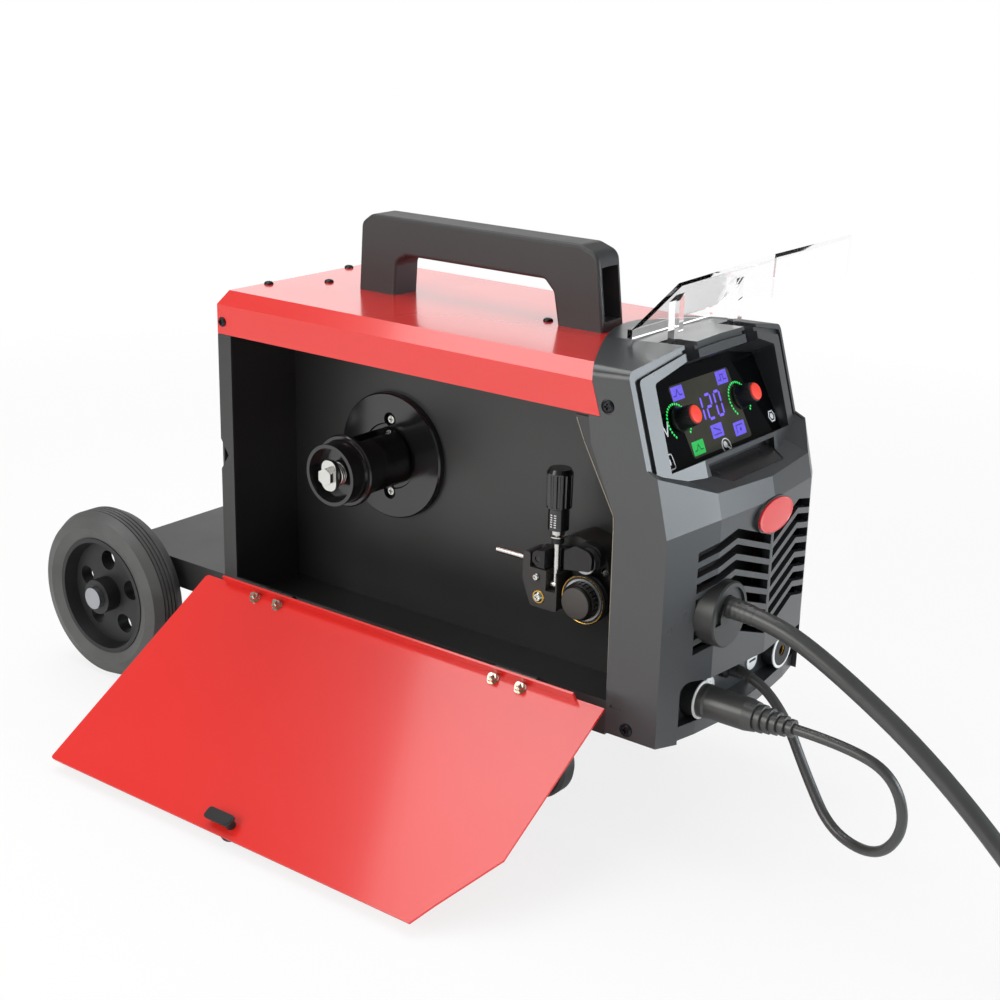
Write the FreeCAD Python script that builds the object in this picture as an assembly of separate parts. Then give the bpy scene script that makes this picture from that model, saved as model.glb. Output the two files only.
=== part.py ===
import FreeCAD, Part
import math
import os

V = FreeCAD.Vector

# Frame while modelling: x = 0 is the middle of the cabinet, -x the door side, -y the front,
# z = 0 the level of the door hinge. The finished part is moved so that its origin is the
# middle of its footprint on the floor.

# Cabinet
HALF_W = 109.0
COVER_L = 387.0
SHEET = 2.0
FLOOR_Z = -25.0
LIP_Z = 216.3
FOLD_Z = 241.2
TOP_Z = 250.7
FOLD_IN = 14.6
DIVIDER_X = -19.3
POST_W = 15.0
SILL_Z = 1.0
SHELF_L = 138.0
GROUND_Z = -118.0
FIT = 0.05
GAP = 0.3
COVER_SCREW_INSET = 5.0

# Front bezel
FRONT_Y = -17.0
WALL = 3.0
FRONT_WALL = 6.0
RIDGE_Y = -23.0
RIDGE_Z = 250.0
FRAME_SLOPE = 0.288
REAR_Y = -1.0
REAR_Z = 216.0
REAR_SLOPE = 0.321
BROW_X = 52.0
BROW_OUT = 12.5
HOOD_FRONT_CORNER_Z = 251.5
HOOD_FRONT_BROW_Z = 262.5
HOOD_FRONT_MID_Z = 263.4
HOOD_REAR_CORNER_Z = 249.5
HOOD_REAR_BROW_Z = 258.5
HOOD_REAR_MID_Z = 259.4
HOOD_FRONT_R = 7.0
HOOD_REAR_R = 12.0
HOOD_REAR_SIDE = (75.0, 24.8)
HOOD_REAR_BEND = (33.0, 43.0)
HOOD_REAR_MID_Y = 50.0
CORNER_Y = -61.4
KINK_X = 68.0
KINK_Y = -81.0
NOSE_Y = -87.0
CHIN_LOW_Z = 137.0
CHIN_TOP = (-51.0, 180.0)
CHIN_KINK_TOP = (-76.5, 165.3)
RIDGE_FOOT_Z = 184.0
SHELF_FOOT = (-42.0, 173.5)
POCKET_X = 92.0
POCKET_TOP = 24.0
POCKET_BOTTOM = -14.0
POCKET_Y = -60.0
LIP_KINK_Y = -70.0
LIP_NOSE_Y = -78.0

# Chevron grille
SLOT_ROWS = 7
SLOT_PITCH = 12.0
SLOT_H = 7.4
SLOT_END = (84.0, 124.0)
SLOT_KNEE = (70.0, 129.0)
SLOT_PEAK = (46.0, 134.8)
SLOT_MID = (2.0, 119.3)

# Control panel
GLASS_TILT = math.radians(28.0)
GLASS_Y = -43.4
GLASS_Z = 172.0
GLASS_T = 3.0
OPEN_X = 86.0
OPEN_TOP_X = 52.0
OPEN_SIDE_U = 66.7
OPEN_TOP_U = 74.0
OPEN_BOTTOM_U = 3.0
KNOB_X = 44.0
KNOB_U = 37.0
KNOB_R = 9.5
KNOB_TIP_R = 7.8
KNOB_L = 16.0
CAP_R = 6.8
SHAFT_R = 3.0
BADGE = (25.0, 13.0, 134.9)

# Clear cover, in its open place
COVER_X = 57.0
PLATE_T = 2.5
HINGE_YZ = (-18.5, 255.0)
RIM_Y = (9.0, 13.2)
RIM_Z = (261.8, 268.6)
PLATE_KNEE = (-28.0, 308.0)
PLATE_END = (-102.0, 338.0)
CHEEK_END = (-101.0, 308.0)
CHEEK_LOW = (-50.5, 287.0)
CHEEK_BACK = (-12.0, 280.0)
ARM_X = 42.5
ARM_W = 11.0
NOTCH_W = 17.0
NOTCH_FLOOR_Z = 243.5
PIN_R = 2.0

# Door, modelled shut and then swung open
DOOR_PIN_X = -(HALF_W + 6.0)
DOOR_PIN_Z = 1.0
DOOR_OPEN = 121.5
DOOR_REAR_Y = COVER_L + 9.0
DOOR_FRONT_Y = -24.0
DOOR_TOP_Z = 214.6
DOOR_INNER_X = -(HALF_W + 2.3)
DOOR_FOOT_Z = 6.5
DOOR_FLANGE_W = 8.0
HINGE_Y = (61.0, COVER_L - 70.0)
KNUCKLE_R = 3.5
KNUCKLE_L = 13.0
HINGE_PIN_R = 1.5
LEAF_T = 1.5
HINGE_BOLT = (13.0, 13.0)
HINGE_BOLT_R = 2.0
LATCH_Y = DOOR_REAR_Y - 201.0
LATCH_Z = 204.0
LATCH_R = 4.0

# Spool holder
SPOOL_Y = 268.0
SPOOL_Z = 114.0
FLANGE_R = 55.0
FLANGE_T = 6.8
SLEEVE_R = 25.0
SLEEVE_L = 52.0
SPINDLE_R = 8.0
NUT_R = 26.0
NUT_FLANGE_R = 30.5
NUT_L = 20.5
NUT_THREAD_R = 15.0
SPINDLE_END = FLANGE_T + SLEEVE_L + 20.0
FLANGE_SCREW = 32.0
BRAKE_SPRING_R = 9.6
BRAKE_WIRE_D = 1.6

# Wire feeder
WIRE_X = -60.0
WIRE_Z = 73.5
DRIVE_Y = 38.0
DRIVE_R = 20.0
ROLL_W = 8.0
PRESS_R = 10.0
FEED_SHAFT_R = 5.0
FEED_CAP_R = 13.5
ARM_PIVOT = (79.0, 78.0)
POST_Y = 66.0
POST_PIVOT_Z = 58.0
POST_R = 3.0
KNOB_BASE_Z = 104.0
KNOB_STEP_Z = 122.0
KNOB_TOP_Z = 153.0
DRIVE_Z = WIRE_Z - 0.5 - DRIVE_R
ROLL_X = WIRE_X
PRESS_W = ROLL_W
GEAR_FACE_X = DIVIDER_X - 28.0
BODY_FRONT_X = WIRE_X - 8.0
GUIDE_R = 2.6
MOTOR_Y = 52.0
MOTOR_Z = 62.0
MOTOR_R = 27.0
MOTOR_NECK_R = 12.0

# Sockets, torch outlet and cords
SOCKET_X = 61.0
SOCKET_Z = 1.0
SOCKET_FACE_Y = -71.5
SOCKET_BORE_R = 4.6
SOCKET_NECK_R = 11.0
BOSS_R = 25.0
BOSS_Y = -89.0
HOSE_D = 14.0
HOSE_Z = 80.0
HOSE_START_Y = -81.0
LEAD_D = 8.0
LEAD_NECK_R = 6.0
LEAD_START = (-12.0, -67.0, 8.0)
PLUG_END_Y = -148.0
COIL_R = 90.0
COIL_PITCH = 14.8
COIL_X = -5.0
COIL_Y = -480.0
COIL_TURNS = 4.25
COIL_TURNS_IN = 2.0
COIL_REVERSE = 2.25
COIL_RUN_UP = 42.0
COIL_RUN_OUT = 40.0
TORCH_DIP = 2.0
TRIGGER_W = 10.4

# Handle
HANDLE_W = 30.0
GRIP_LOW_Z = 285.0
GRIP_TOP_Z = 316.0
HANDLE_FRONT_Y = 62.8
HANDLE_REAR_Y = COVER_L - 74.0
POST_FRONT_END = 106.0
POST_REAR_START = HANDLE_REAR_Y - 40.0

# Wheels and castors
WHEEL_R = 78.0
WHEEL_W = 40.0
WHEEL_GAP = 4.0
AXLE_Y = COVER_L + 122.0
AXLE_R = 6.0
TYRE_GROOVES = 4
CASTOR_X = 75.0
CASTOR_Y = 42.0
CASTOR_R = 30.0
CASTOR_W = 22.0
CASTOR_TRAIL = 24.0
CASTOR_PIN_R = 4.0

# Cooling fan and electronics
FAN_X = 47.0
FAN_Z = 160.0
FAN_SIZE = 92.0
FAN_DEPTH = 25.0
FAN_BORE_R = 43.0
FAN_HUB_R = 19.0
FAN_BLADES = 7
SWITCH_X = 82.0
SWITCH_Z = 68.0
MAINS_X = 80.0
MAINS_Z = 34.0
GLAND_R = 9.0
GAS_X = 20.0
GAS_Z = 34.0
GAS_R = 6.5

AXLE_Z = GROUND_Z + WHEEL_R
REAR_INNER_Y = COVER_L - SHEET
SHELF_END = COVER_L + SHELF_L
BEZEL_SCREWS = ((-7.0, 224.5), (-35.6, -17.6))
parts = {}


def box(x0, x1, y0, y1, z0, z1):
    return Part.makeBox(x1 - x0, y1 - y0, z1 - z0, V(x0, y0, z0))


def rod(start, direction, radius, length):
    return Part.makeCylinder(radius, length, V(*start), V(*direction))


def corner_arc(before, corner, after, radius):
    """Ends and middle of the arc that rounds one corner of a flat outline."""
    a = (V(before[0], before[1], 0) - V(corner[0], corner[1], 0)).normalize()
    b = (V(after[0], after[1], 0) - V(corner[0], corner[1], 0)).normalize()
    half = a.getAngle(b) / 2
    c = V(corner[0], corner[1], 0)
    reach = radius / math.tan(half)
    bisector = (a + b).normalize()
    middle = c + bisector * (radius / math.sin(half) - radius)
    return c + a * reach, middle, c + b * reach


def outline(points, place):
    """Closed wire through (a, b) or (a, b, corner radius) points, put in space by place(a, b)."""
    stops = []
    for i, point in enumerate(points):
        radius = point[2] if len(point) > 2 else 0.0
        if radius > 0:
            stops.append(corner_arc(points[i - 1], point, points[(i + 1) % len(points)], radius))
        else:
            p = V(point[0], point[1], 0)
            stops.append((p, None, p))
    edges = []
    for i, (start, middle, end) in enumerate(stops):
        if middle is not None:
            arc = [place(p.x, p.y) for p in (start, middle, end)]
            edges.append(Part.Arc(*arc).toShape())
        following = stops[(i + 1) % len(stops)][0]
        edges.append(Part.LineSegment(place(end.x, end.y), place(following.x, following.y)).toShape())
    return Part.Wire(edges)


def prism_yz(points, x0, x1):
    return Part.Face(outline(points, lambda y, z: V(x0, y, z))).extrude(V(x1 - x0, 0, 0))


def prism_xz(points, y0, y1):
    return Part.Face(outline(points, lambda x, z: V(x, y0, z))).extrude(V(0, y1 - y0, 0))


def prism_xy(points, z0, z1):
    return Part.Face(outline(points, lambda x, y: V(x, y, z0))).extrude(V(0, 0, z1 - z0))


def turned(profile, start, direction):
    """Solid turned about an axis from (radius, distance along the axis) points."""
    axis = V(*direction).normalize()
    side = V(0, 0, 1) if abs(axis.z) < 0.9 else V(1, 0, 0)
    side = (side - axis * side.dot(axis)).normalize()
    base = V(*start)
    wire = outline(profile, lambda r, h: base + side * r + axis * h)
    return Part.Face(wire).revolve(base, axis, 360)


def mirrored(shape):
    return shape.mirror(V(0, 0, 0), V(1, 0, 0))


def both(shape):
    return [shape, mirrored(shape)]


def group(shapes):
    return Part.makeCompound(list(shapes))


def fuse(shapes):
    shapes = list(shapes)
    return shapes[0].multiFuse(shapes[1:]).removeSplitter()


def offset_line(points, distance):
    """Open polyline moved sideways by a distance, with mitred corners."""
    moved = []
    for i, point in enumerate(points):
        here = V(point[0], point[1], 0)
        normals = []
        for a, b in ((i - 1, i), (i, i + 1)):
            if a >= 0 and b < len(points):
                run = V(points[b][0] - points[a][0], points[b][1] - points[a][1], 0).normalize()
                normals.append(V(run.y, -run.x, 0))
        mean = sum(normals[1:], normals[0])
        mean = mean.normalize()
        spot = here + mean * (distance / mean.dot(normals[0]))
        moved.append((spot.x, spot.y))
    return moved


def sheet_line(points, thickness):
    return list(points) + list(reversed(offset_line(points, thickness)))


def sweep(points, diameter, name):
    """Round tube along straight runs that tangent arcs join, and the arc radii it prints."""
    spots = [V(*p) for p in points]
    runs = [(b - a).Length for a, b in zip(spots, spots[1:])]
    edges = []
    start = spots[0]
    radii = []
    for i in range(1, len(spots) - 1):
        back = (spots[i - 1] - spots[i]).normalize()
        ahead = (spots[i + 1] - spots[i]).normalize()
        turn = math.pi - back.getAngle(ahead)
        reach = 0.45 * min(runs[i - 1], runs[i])
        radius = reach / math.tan(turn / 2)
        radii.append(round(radius, 1))
        entry = spots[i] + back * reach
        leave = spots[i] + ahead * reach
        depth = radius / math.cos(turn / 2) - radius
        middle = spots[i] + (back + ahead).normalize() * depth
        edges.append(Part.LineSegment(start, entry).toShape())
        edges.append(Part.Arc(entry, middle, leave).toShape())
        start = leave
    edges.append(Part.LineSegment(start, spots[-1]).toShape())
    path = Part.Wire(edges)
    tube = pipe(path, spots[0], spots[1] - spots[0], diameter)
    expected = math.pi * diameter ** 2 / 4 * path.Length
    print(name, "length", round(path.Length, 1), "radii", radii, "volume ratio",
          round(tube.Volume / expected, 4))
    return tube


def pipe(path, start, direction, diameter):
    ring = Part.Wire(Part.makeCircle(diameter / 2, start, direction))
    return path.makePipeShell([ring], True, False)


def biarc(p0, t0, p1, t1):
    """Two arcs from p0 to p1 that keep both end directions."""
    span = p1 - p0
    tangents = t0 + t1
    a = 2 * (1 - t0.dot(t1))
    b = 2 * span.dot(tangents)
    c = -span.dot(span)
    reach = -c / b if abs(a) < 1e-9 else (-b + math.sqrt(b * b - 4 * a * c)) / (2 * a)
    joint = (p0 + p1 + (t0 - t1) * reach) * 0.5
    return [arc_from(p0, t0, joint), arc_from(p1, t1 * -1, joint)]


def arc_from(start, tangent, end):
    chord = end - start
    along = V(chord).normalize()
    bulge = tangent - along * tangent.dot(along)
    angle = tangent.getAngle(chord)
    middle = (start + end) * 0.5 + bulge.normalize() * (chord.Length / 2 * math.tan(angle / 2))
    return Part.Arc(start, middle, end).toShape()


def wound(path_point, steps, diameter, name, tail):
    """One unbroken round tube wound along path_point(t), t from 0 to steps, with a straight start and tail.

    Returns the tube, its start, its heading there and its end, and prints its least gap to itself.
    """
    probe = 1e-4
    spots = [path_point(i) for i in range(steps + 1)]
    heads = [(path_point(i + probe) - path_point(i - probe)).normalize() for i in range(steps + 1)]
    start = spots[0] - heads[0] * diameter
    end = spots[-1] + heads[-1] * tail
    edges = [Part.LineSegment(start, spots[0]).toShape()]
    for i in range(steps):
        edges.extend(biarc(spots[i], heads[i], spots[i + 1], heads[i + 1]))
    edges.append(Part.LineSegment(spots[-1], end).toShape())
    path = Part.Wire(edges)
    tube = pipe(path, start, heads[0], diameter)
    samples = [path_point(i / 12.0) for i in range(steps * 12 + 1)]
    least = min((a - b).Length for i, a in enumerate(samples) for b in samples[i + 30:])
    print(name, "length", round(path.Length, 1), "least gap to itself", round(least - diameter, 2))
    return tube, start, heads[0], end


def pan_screw(spot, direction, radius, height):
    """Pan head standing on a face, with its cross recess."""
    head = turned([(0, 0), (radius, 0), (radius, height * 0.45), (radius * 0.72, height), (0, height)],
                  spot, direction)
    axis = V(*direction).normalize()
    side = V(0, 0, 1) if abs(axis.z) < 0.9 else V(1, 0, 0)
    cross = axis.cross(side)
    wide, long = radius * 0.16, radius * 0.55
    for a, b in ((long, wide), (wide, long)):
        low = V(*spot) + axis * (height * 0.4)
        corners = [low + side * (sa * a) + cross * (sb * b)
                   for sa, sb in ((1, 1), (1, -1), (-1, -1), (-1, 1))]
        bar = Part.Face(Part.makePolygon(corners + corners[:1])).extrude(axis * height)
        head = head.cut(bar)
    return head


def hexagon(x, y, z, radius, length, turn):
    """Hexagonal prism along x."""
    corners = []
    for k in range(7):
        angle = math.radians(60 * k + turn)
        corners.append(V(x, y + radius * math.cos(angle), z + radius * math.sin(angle)))
    return Part.Face(Part.makePolygon(corners)).extrude(V(length, 0, 0))


def add(name, shape):
    parts[name] = shape


# Cabinet sheet metal

def cover_line():
    return [(-HALF_W, LIP_Z), (-HALF_W, FOLD_Z), (-HALF_W + FOLD_IN, TOP_Z), (HALF_W - FOLD_IN, TOP_Z),
            (HALF_W, FOLD_Z), (HALF_W, FLOOR_Z)]


def rear_edge(gap):
    """The bezel's rear edge in the side view, moved back by a gap."""
    top = TOP_Z + 60
    return [(FRONT_Y + gap, FLOOR_Z - 5), (FRONT_Y + gap, 144.0), (6.0 + gap, 195.0), (9.0 + gap, REAR_Z),
            (REAR_Y + gap, REAR_Z), (REAR_Y + gap + (top - REAR_Z) * REAR_SLOPE, top)]


def make_top_cover():
    skin = prism_xz(sheet_line(cover_line(), SHEET), FRONT_Y, COVER_L)
    front = rear_edge(GAP) + [(-120.0, TOP_Z + 60), (-120.0, FLOOR_Z - 5)]
    skin = skin.cut(prism_yz(front, -HALF_W - 1, HALF_W + 1))
    louvres = []
    for column in range(3):
        for row in range(6):
            y = 70.0 + column * 95
            z = 60.0 + row * 12
            louvres.append(box(HALF_W - SHEET - 1, HALF_W + 1, y, y + 60, z, z + 3.5))
    add("top_cover", skin.cut(group(louvres)))


def make_base_tray():
    x = HALF_W
    low = FLOOR_Z - SHEET
    pieces = [box(-x, x - SHEET, FRONT_Y, COVER_L, low, FLOOR_Z),
              box(-x, -x + SHEET, FRONT_Y, COVER_L, low, SILL_Z),
              box(-x, x, COVER_L, SHELF_END, -SHEET, 0),
              box(-x, x, COVER_L, COVER_L + SHEET, low, 0),
              box(-x, x, SHELF_END - SHEET, SHELF_END, low, 0)]
    tab_low = AXLE_Z - 13
    side = [(COVER_L, 0), (COVER_L, low), (AXLE_Y - 34, low), (AXLE_Y - 14, tab_low, 4),
            (AXLE_Y + 12, tab_low, 4), (SHELF_END, low), (SHELF_END, 0)]
    tray = fuse(pieces + both(prism_yz(side, -x, -x + SHEET)))
    tray = tray.cut(rod((-x - 5, AXLE_Y, AXLE_Z), (1, 0, 0), AXLE_R + FIT, 2 * x + 10))
    add("base_tray", tray)


def make_rear_panel():
    inner = offset_line(cover_line(), SHEET)
    top = [inner[1], inner[2], inner[3], inner[4]]
    x = HALF_W - SHEET
    plate = prism_xz([(-x, FLOOR_Z)] + top + [(x, FLOOR_Z)], REAR_INNER_Y, COVER_L)
    post = box(-HALF_W, -HALF_W + SHEET, COVER_L - POST_W, COVER_L, SILL_Z, LIP_Z - GAP)
    panel = fuse([plate, post])
    notch = prism_yz([(COVER_L + 1, 96), (COVER_L - 9, 111), (COVER_L + 1, 126)], -HALF_W - 1,
                     -HALF_W + SHEET)
    cuts = [notch, rod((FAN_X, REAR_INNER_Y - 1, FAN_Z), (0, 1, 0), FAN_HUB_R * 0.6, SHEET + 2)]
    for ring in range(4):
        outer = FAN_HUB_R + 4 + (ring + 1) * 5.0
        cuts.append(turned([(outer - 3.4, 0), (outer, 0), (outer, SHEET + 2), (outer - 3.4, SHEET + 2)],
                           (FAN_X, REAR_INNER_Y - 1, FAN_Z), (0, 1, 0)))
    spokes = []
    for turn in (45, 135):
        bar = box(-3, 3, REAR_INNER_Y, COVER_L, -50, 50)
        bar.rotate(V(0, 0, 0), V(0, 1, 0), turn)
        bar.translate(V(FAN_X, 0, FAN_Z))
        spokes.append(bar)
    panel = panel.cut(group(cuts))
    ring = turned([(20, 0), (46, 0), (46, SHEET), (20, SHEET)], (FAN_X, REAR_INNER_Y, FAN_Z), (0, 1, 0))
    panel = fuse([panel] + [bar.common(ring) for bar in spokes])
    panel = panel.cut(box(SWITCH_X - 10, SWITCH_X + 10, REAR_INNER_Y - 1, COVER_L + 1, SWITCH_Z - 14,
                          SWITCH_Z + 14))
    panel = panel.cut(rod((MAINS_X, REAR_INNER_Y - 1, MAINS_Z), (0, 1, 0), GLAND_R + FIT, SHEET + 2))
    panel = panel.cut(rod((GAS_X, REAR_INNER_Y - 1, GAS_Z), (0, 1, 0), GAS_R + FIT, SHEET + 2))
    add("rear_panel", panel)


def make_divider():
    top = TOP_Z - SHEET
    x = DIVIDER_X
    plate = box(x, x + SHEET, FRONT_Y + SHEET, REAR_INNER_Y, FLOOR_Z, top)
    foot = box(x, x + 14, FRONT_Y + SHEET, REAR_INNER_Y, FLOOR_Z, FLOOR_Z + SHEET)
    plate = fuse([plate, foot])
    plate = plate.cut(rod((x - 1, MOTOR_Y, MOTOR_Z), (1, 0, 0), MOTOR_NECK_R + FIT, SHEET + 2))
    slant = rear_edge(GAP) + [(-120.0, TOP_Z + 60), (-120.0, FLOOR_Z - 5)]
    above = box(x - 1, x + 20, -60, 60, 180, TOP_Z + 70)
    add("divider_panel", plate.cut(prism_yz(slant, x - 1, x + 20).common(above)))


def make_front_frame():
    x = HALF_W - WALL - SHEET
    wall = box(-x, x, FRONT_Y, FRONT_Y + SHEET, FLOOR_Z, 168)
    jamb = prism_yz([(-32.0, FLOOR_Z + WALL + GAP), (-15.0, FLOOR_Z + WALL + GAP), (-15.0, 3.0),
                     (-14.0, 134.0), (-13.5, 144.0),
                     (14.4, 195.0), (22.7, LIP_Z - 3), (-8.0, LIP_Z - 3), (-32.0, 165.0)],
                    -HALF_W + WALL, -HALF_W + WALL + SHEET)
    frame = fuse([wall, jamb])
    frame = frame.cut(rod((WIRE_X, FRONT_Y - 1, WIRE_Z), (0, 1, 0), GUIDE_R + FIT, SHEET + 2))
    add("front_frame", frame)


# Front bezel

def frame_y(z):
    return RIDGE_Y - (RIDGE_Z - z) * FRAME_SLOPE


def rear_y(z):
    return REAR_Y + (z - REAR_Z) * REAR_SLOPE


def front_y(x, z):
    """The display frame's front: wings that slant forward to a straight middle."""
    forward = min(1.0, (HALF_W - abs(x)) / (HALF_W - BROW_X))
    return frame_y(z) - BROW_OUT * forward


def hood_block(inset, back):
    """The hood as two wings and a straight middle, each lofted from the display frame back to a level y."""
    low = 140.0
    x = HALF_W - inset
    brow = BROW_X
    front_wing = [(-brow, low), (-x, low), (-x, HOOD_FRONT_CORNER_Z - inset, HOOD_FRONT_R),
                  (-brow, HOOD_FRONT_BROW_Z - inset)]
    rear_wing = [(-brow, low), (-x, low), (-x, HOOD_REAR_CORNER_Z - inset, HOOD_REAR_R),
                 (-brow, HOOD_REAR_BROW_Z - inset)]
    front_mid = [(-brow, low), (-brow, HOOD_FRONT_BROW_Z - inset), (0, HOOD_FRONT_MID_Z - inset), (0, low)]
    rear_mid = [(-brow, low), (-brow, HOOD_REAR_BROW_Z - inset), (0, HOOD_REAR_MID_Z - inset), (0, low)]
    blocks = []
    for front, rear in ((front_wing, rear_wing), (front_mid, rear_mid)):
        wires = [outline(front, lambda a, z: V(a, front_y(a, z), z)),
                 outline(rear, lambda a, z: V(a, back, z))]
        blocks.extend(both(Part.makeLoft(wires, True, True)))
    return fuse(blocks)


def hood_plan():
    """Column inside the hood's rear edge, which bulges back over the cover."""
    side = V(HOOD_REAR_SIDE[0], HOOD_REAR_SIDE[1], 0)
    bend = V(HOOD_REAR_BEND[0], HOOD_REAR_BEND[1], 0)
    foot = V(HALF_W, rear_y(FOLD_Z), 0)
    middle = V(0, HOOD_REAR_MID_Y, 0)
    flip = [V(-p.x, p.y, 0) for p in (bend, side, foot)]
    edges = [Part.Arc(foot, side, bend).toShape(), Part.Arc(bend, middle, flip[0]).toShape(),
             Part.Arc(*flip).toShape()]
    edges.append(Part.makePolygon([flip[2], V(-HALF_W, NOSE_Y, 0), V(HALF_W, NOSE_Y, 0), foot]))
    return Part.Face(Part.Wire(edges)).extrude(V(0, 0, TOP_Z + 60))


def cover_room():
    """Space of the cover and what lies under it, behind the bezel's slanting rear edge."""
    line = offset_line([(-HALF_W, -50.0)] + cover_line()[1:5] + [(HALF_W, -50.0)], -GAP)
    top = TOP_Z + 1
    behind = rear_edge(0)[:5] + [(rear_y(top), top), (90.0, top), (90.0, FLOOR_Z - 5)]
    return prism_xz(line, -60, 100).common(prism_yz(behind, -HALF_W - 1, HALF_W + 1))


def facet_z(p, a, b, c):
    """Height of the plane through a, b and c at the plan position p."""
    n = (b - a).cross(c - a)
    return a.z - (n.x * (p[0] - a.x) + n.y * (p[1] - a.y)) / n.z


def chin_block(side, front, base, top):
    """The faceted lower front, with its walls moved in by the given amounts."""
    x = HALF_W - side
    low = FLOOR_Z + base
    back = FRONT_Y + (20.0 if side else 0.0)
    corner_low = V(-x, CORNER_Y + front, CHIN_LOW_Z)
    corner_top = V(-x, CHIN_TOP[0] + front, CHIN_TOP[1] - top)
    kink_top = V(-KINK_X, CHIN_KINK_TOP[0] + front, CHIN_KINK_TOP[1] - top)
    ridge_foot = V(-x, frame_y(RIDGE_FOOT_Z), RIDGE_FOOT_Z - top)
    shelf_side = V(-KINK_X - 6, SHELF_FOOT[0], SHELF_FOOT[1] - top)
    shelf_mid = V(0, shelf_side.y, shelf_side.z)
    slope = (shelf_side.z - kink_top.z) / (shelf_side.y - kink_top.y)
    nose_top_y = NOSE_Y + 4.0 + front
    nose_top = V(0, nose_top_y, kink_top.z + (nose_top_y - kink_top.y) * slope)
    kink = (-KINK_X, KINK_Y + front)
    kink_low = V(kink[0], kink[1], facet_z(kink, corner_low, corner_top, kink_top))
    nose = (0.0, NOSE_Y + front)
    nose_low = V(nose[0], nose[1], facet_z(nose, kink_low, kink_top, nose_top))
    faces = [
        [corner_low, corner_top, kink_top, kink_low],
        [kink_low, kink_top, nose_top, nose_low],
        [corner_top, ridge_foot, shelf_side],
        [corner_top, shelf_side, kink_top],
        [kink_top, shelf_side, shelf_mid, nose_top],
        [ridge_foot, V(-x, back, ridge_foot.z), V(shelf_side.x, back, shelf_side.z), shelf_side],
        [shelf_side, V(shelf_side.x, back, shelf_side.z), V(0, back, shelf_side.z), shelf_mid],
        [corner_low, kink_low, V(kink[0], kink[1], low), V(-x, CORNER_Y + front, low)],
        [kink_low, nose_low, V(0, nose[1], low), V(kink[0], kink[1], low)],
        [V(-x, CORNER_Y + front, low), V(kink[0], kink[1], low), V(0, nose[1], low), V(0, back, low),
         V(-x, back, low)],
        [V(-x, CORNER_Y + front, low), V(-x, back, low), V(-x, back, ridge_foot.z), ridge_foot, corner_top,
         corner_low],
        [V(-x, back, low), V(0, back, low), V(0, back, shelf_side.z), V(shelf_side.x, back, shelf_side.z),
         V(-x, back, ridge_foot.z)],
        [V(0, back, low), V(0, nose[1], low), nose_low, nose_top, shelf_mid, V(0, back, shelf_side.z)],
    ]
    shell = Part.Shell([flat_face(f) for f in faces])
    half = Part.Solid(shell)
    if half.Volume < 0:
        half.reverse()
    return fuse(both(half))


def flat_face(corners):
    return Part.Face(Part.makePolygon(corners + corners[:1]))


def grille_slots():
    slots = []
    for row in range(SLOT_ROWS):
        drop = row * SLOT_PITCH
        upper = [(-x, z - drop) for x, z in (SLOT_END, SLOT_KNEE, SLOT_PEAK, SLOT_MID)]
        lower = [(x, z - SLOT_H) for x, z in reversed(upper)]
        slots.extend(both(prism_xz(upper + lower, NOSE_Y - 10, POCKET_Y)))
    return slots


def frame_groove():
    """Groove between the hood's bead and the display frame's flat band."""
    wing = [(-104.5, 181.0), (-104.5, 248.8, 5), (-BROW_X, 260.6), (-BROW_X, 257.6), (-100.0, 245.6, 4),
            (-100.0, 181.0)]
    middle = [(-BROW_X, 260.6), (0, 261.5), (0, 258.5), (-BROW_X, 257.6)]
    cuts = []
    for line in (wing, middle):
        face = Part.Face(outline(line, lambda x, z: V(x, front_y(x, z) - 2, z)))
        cuts.extend(both(face.extrude(V(0, 4.6, -4.6 * FRAME_SLOPE))))
    return cuts


def glass_point(x, u, n=0.0):
    """A point on the panel: x across, u up the glass, n out of it."""
    s, c = math.sin(GLASS_TILT), math.cos(GLASS_TILT)
    return V(x, GLASS_Y + u * s - n * c, GLASS_Z + u * c + n * s)


def glass_prism(points, n0, n1):
    face = Part.Face(outline(points, lambda x, u: glass_point(x, u, n0)))
    return face.extrude(glass_point(0, 0, n1) - glass_point(0, 0, n0))


def panel_outline(margin, bottom):
    x = OPEN_X + margin
    return [(-x, bottom), (-x, OPEN_SIDE_U + margin, 3), (-OPEN_TOP_X, OPEN_TOP_U + margin),
            (OPEN_TOP_X, OPEN_TOP_U + margin), (x, OPEN_SIDE_U + margin, 3), (x, bottom)]


def pocket_profile(margin):
    x = POCKET_X + margin
    return [(-x, POCKET_BOTTOM), (-x, POCKET_TOP + margin, 9), (x, POCKET_TOP + margin, 9),
            (x, POCKET_BOTTOM)]


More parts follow.
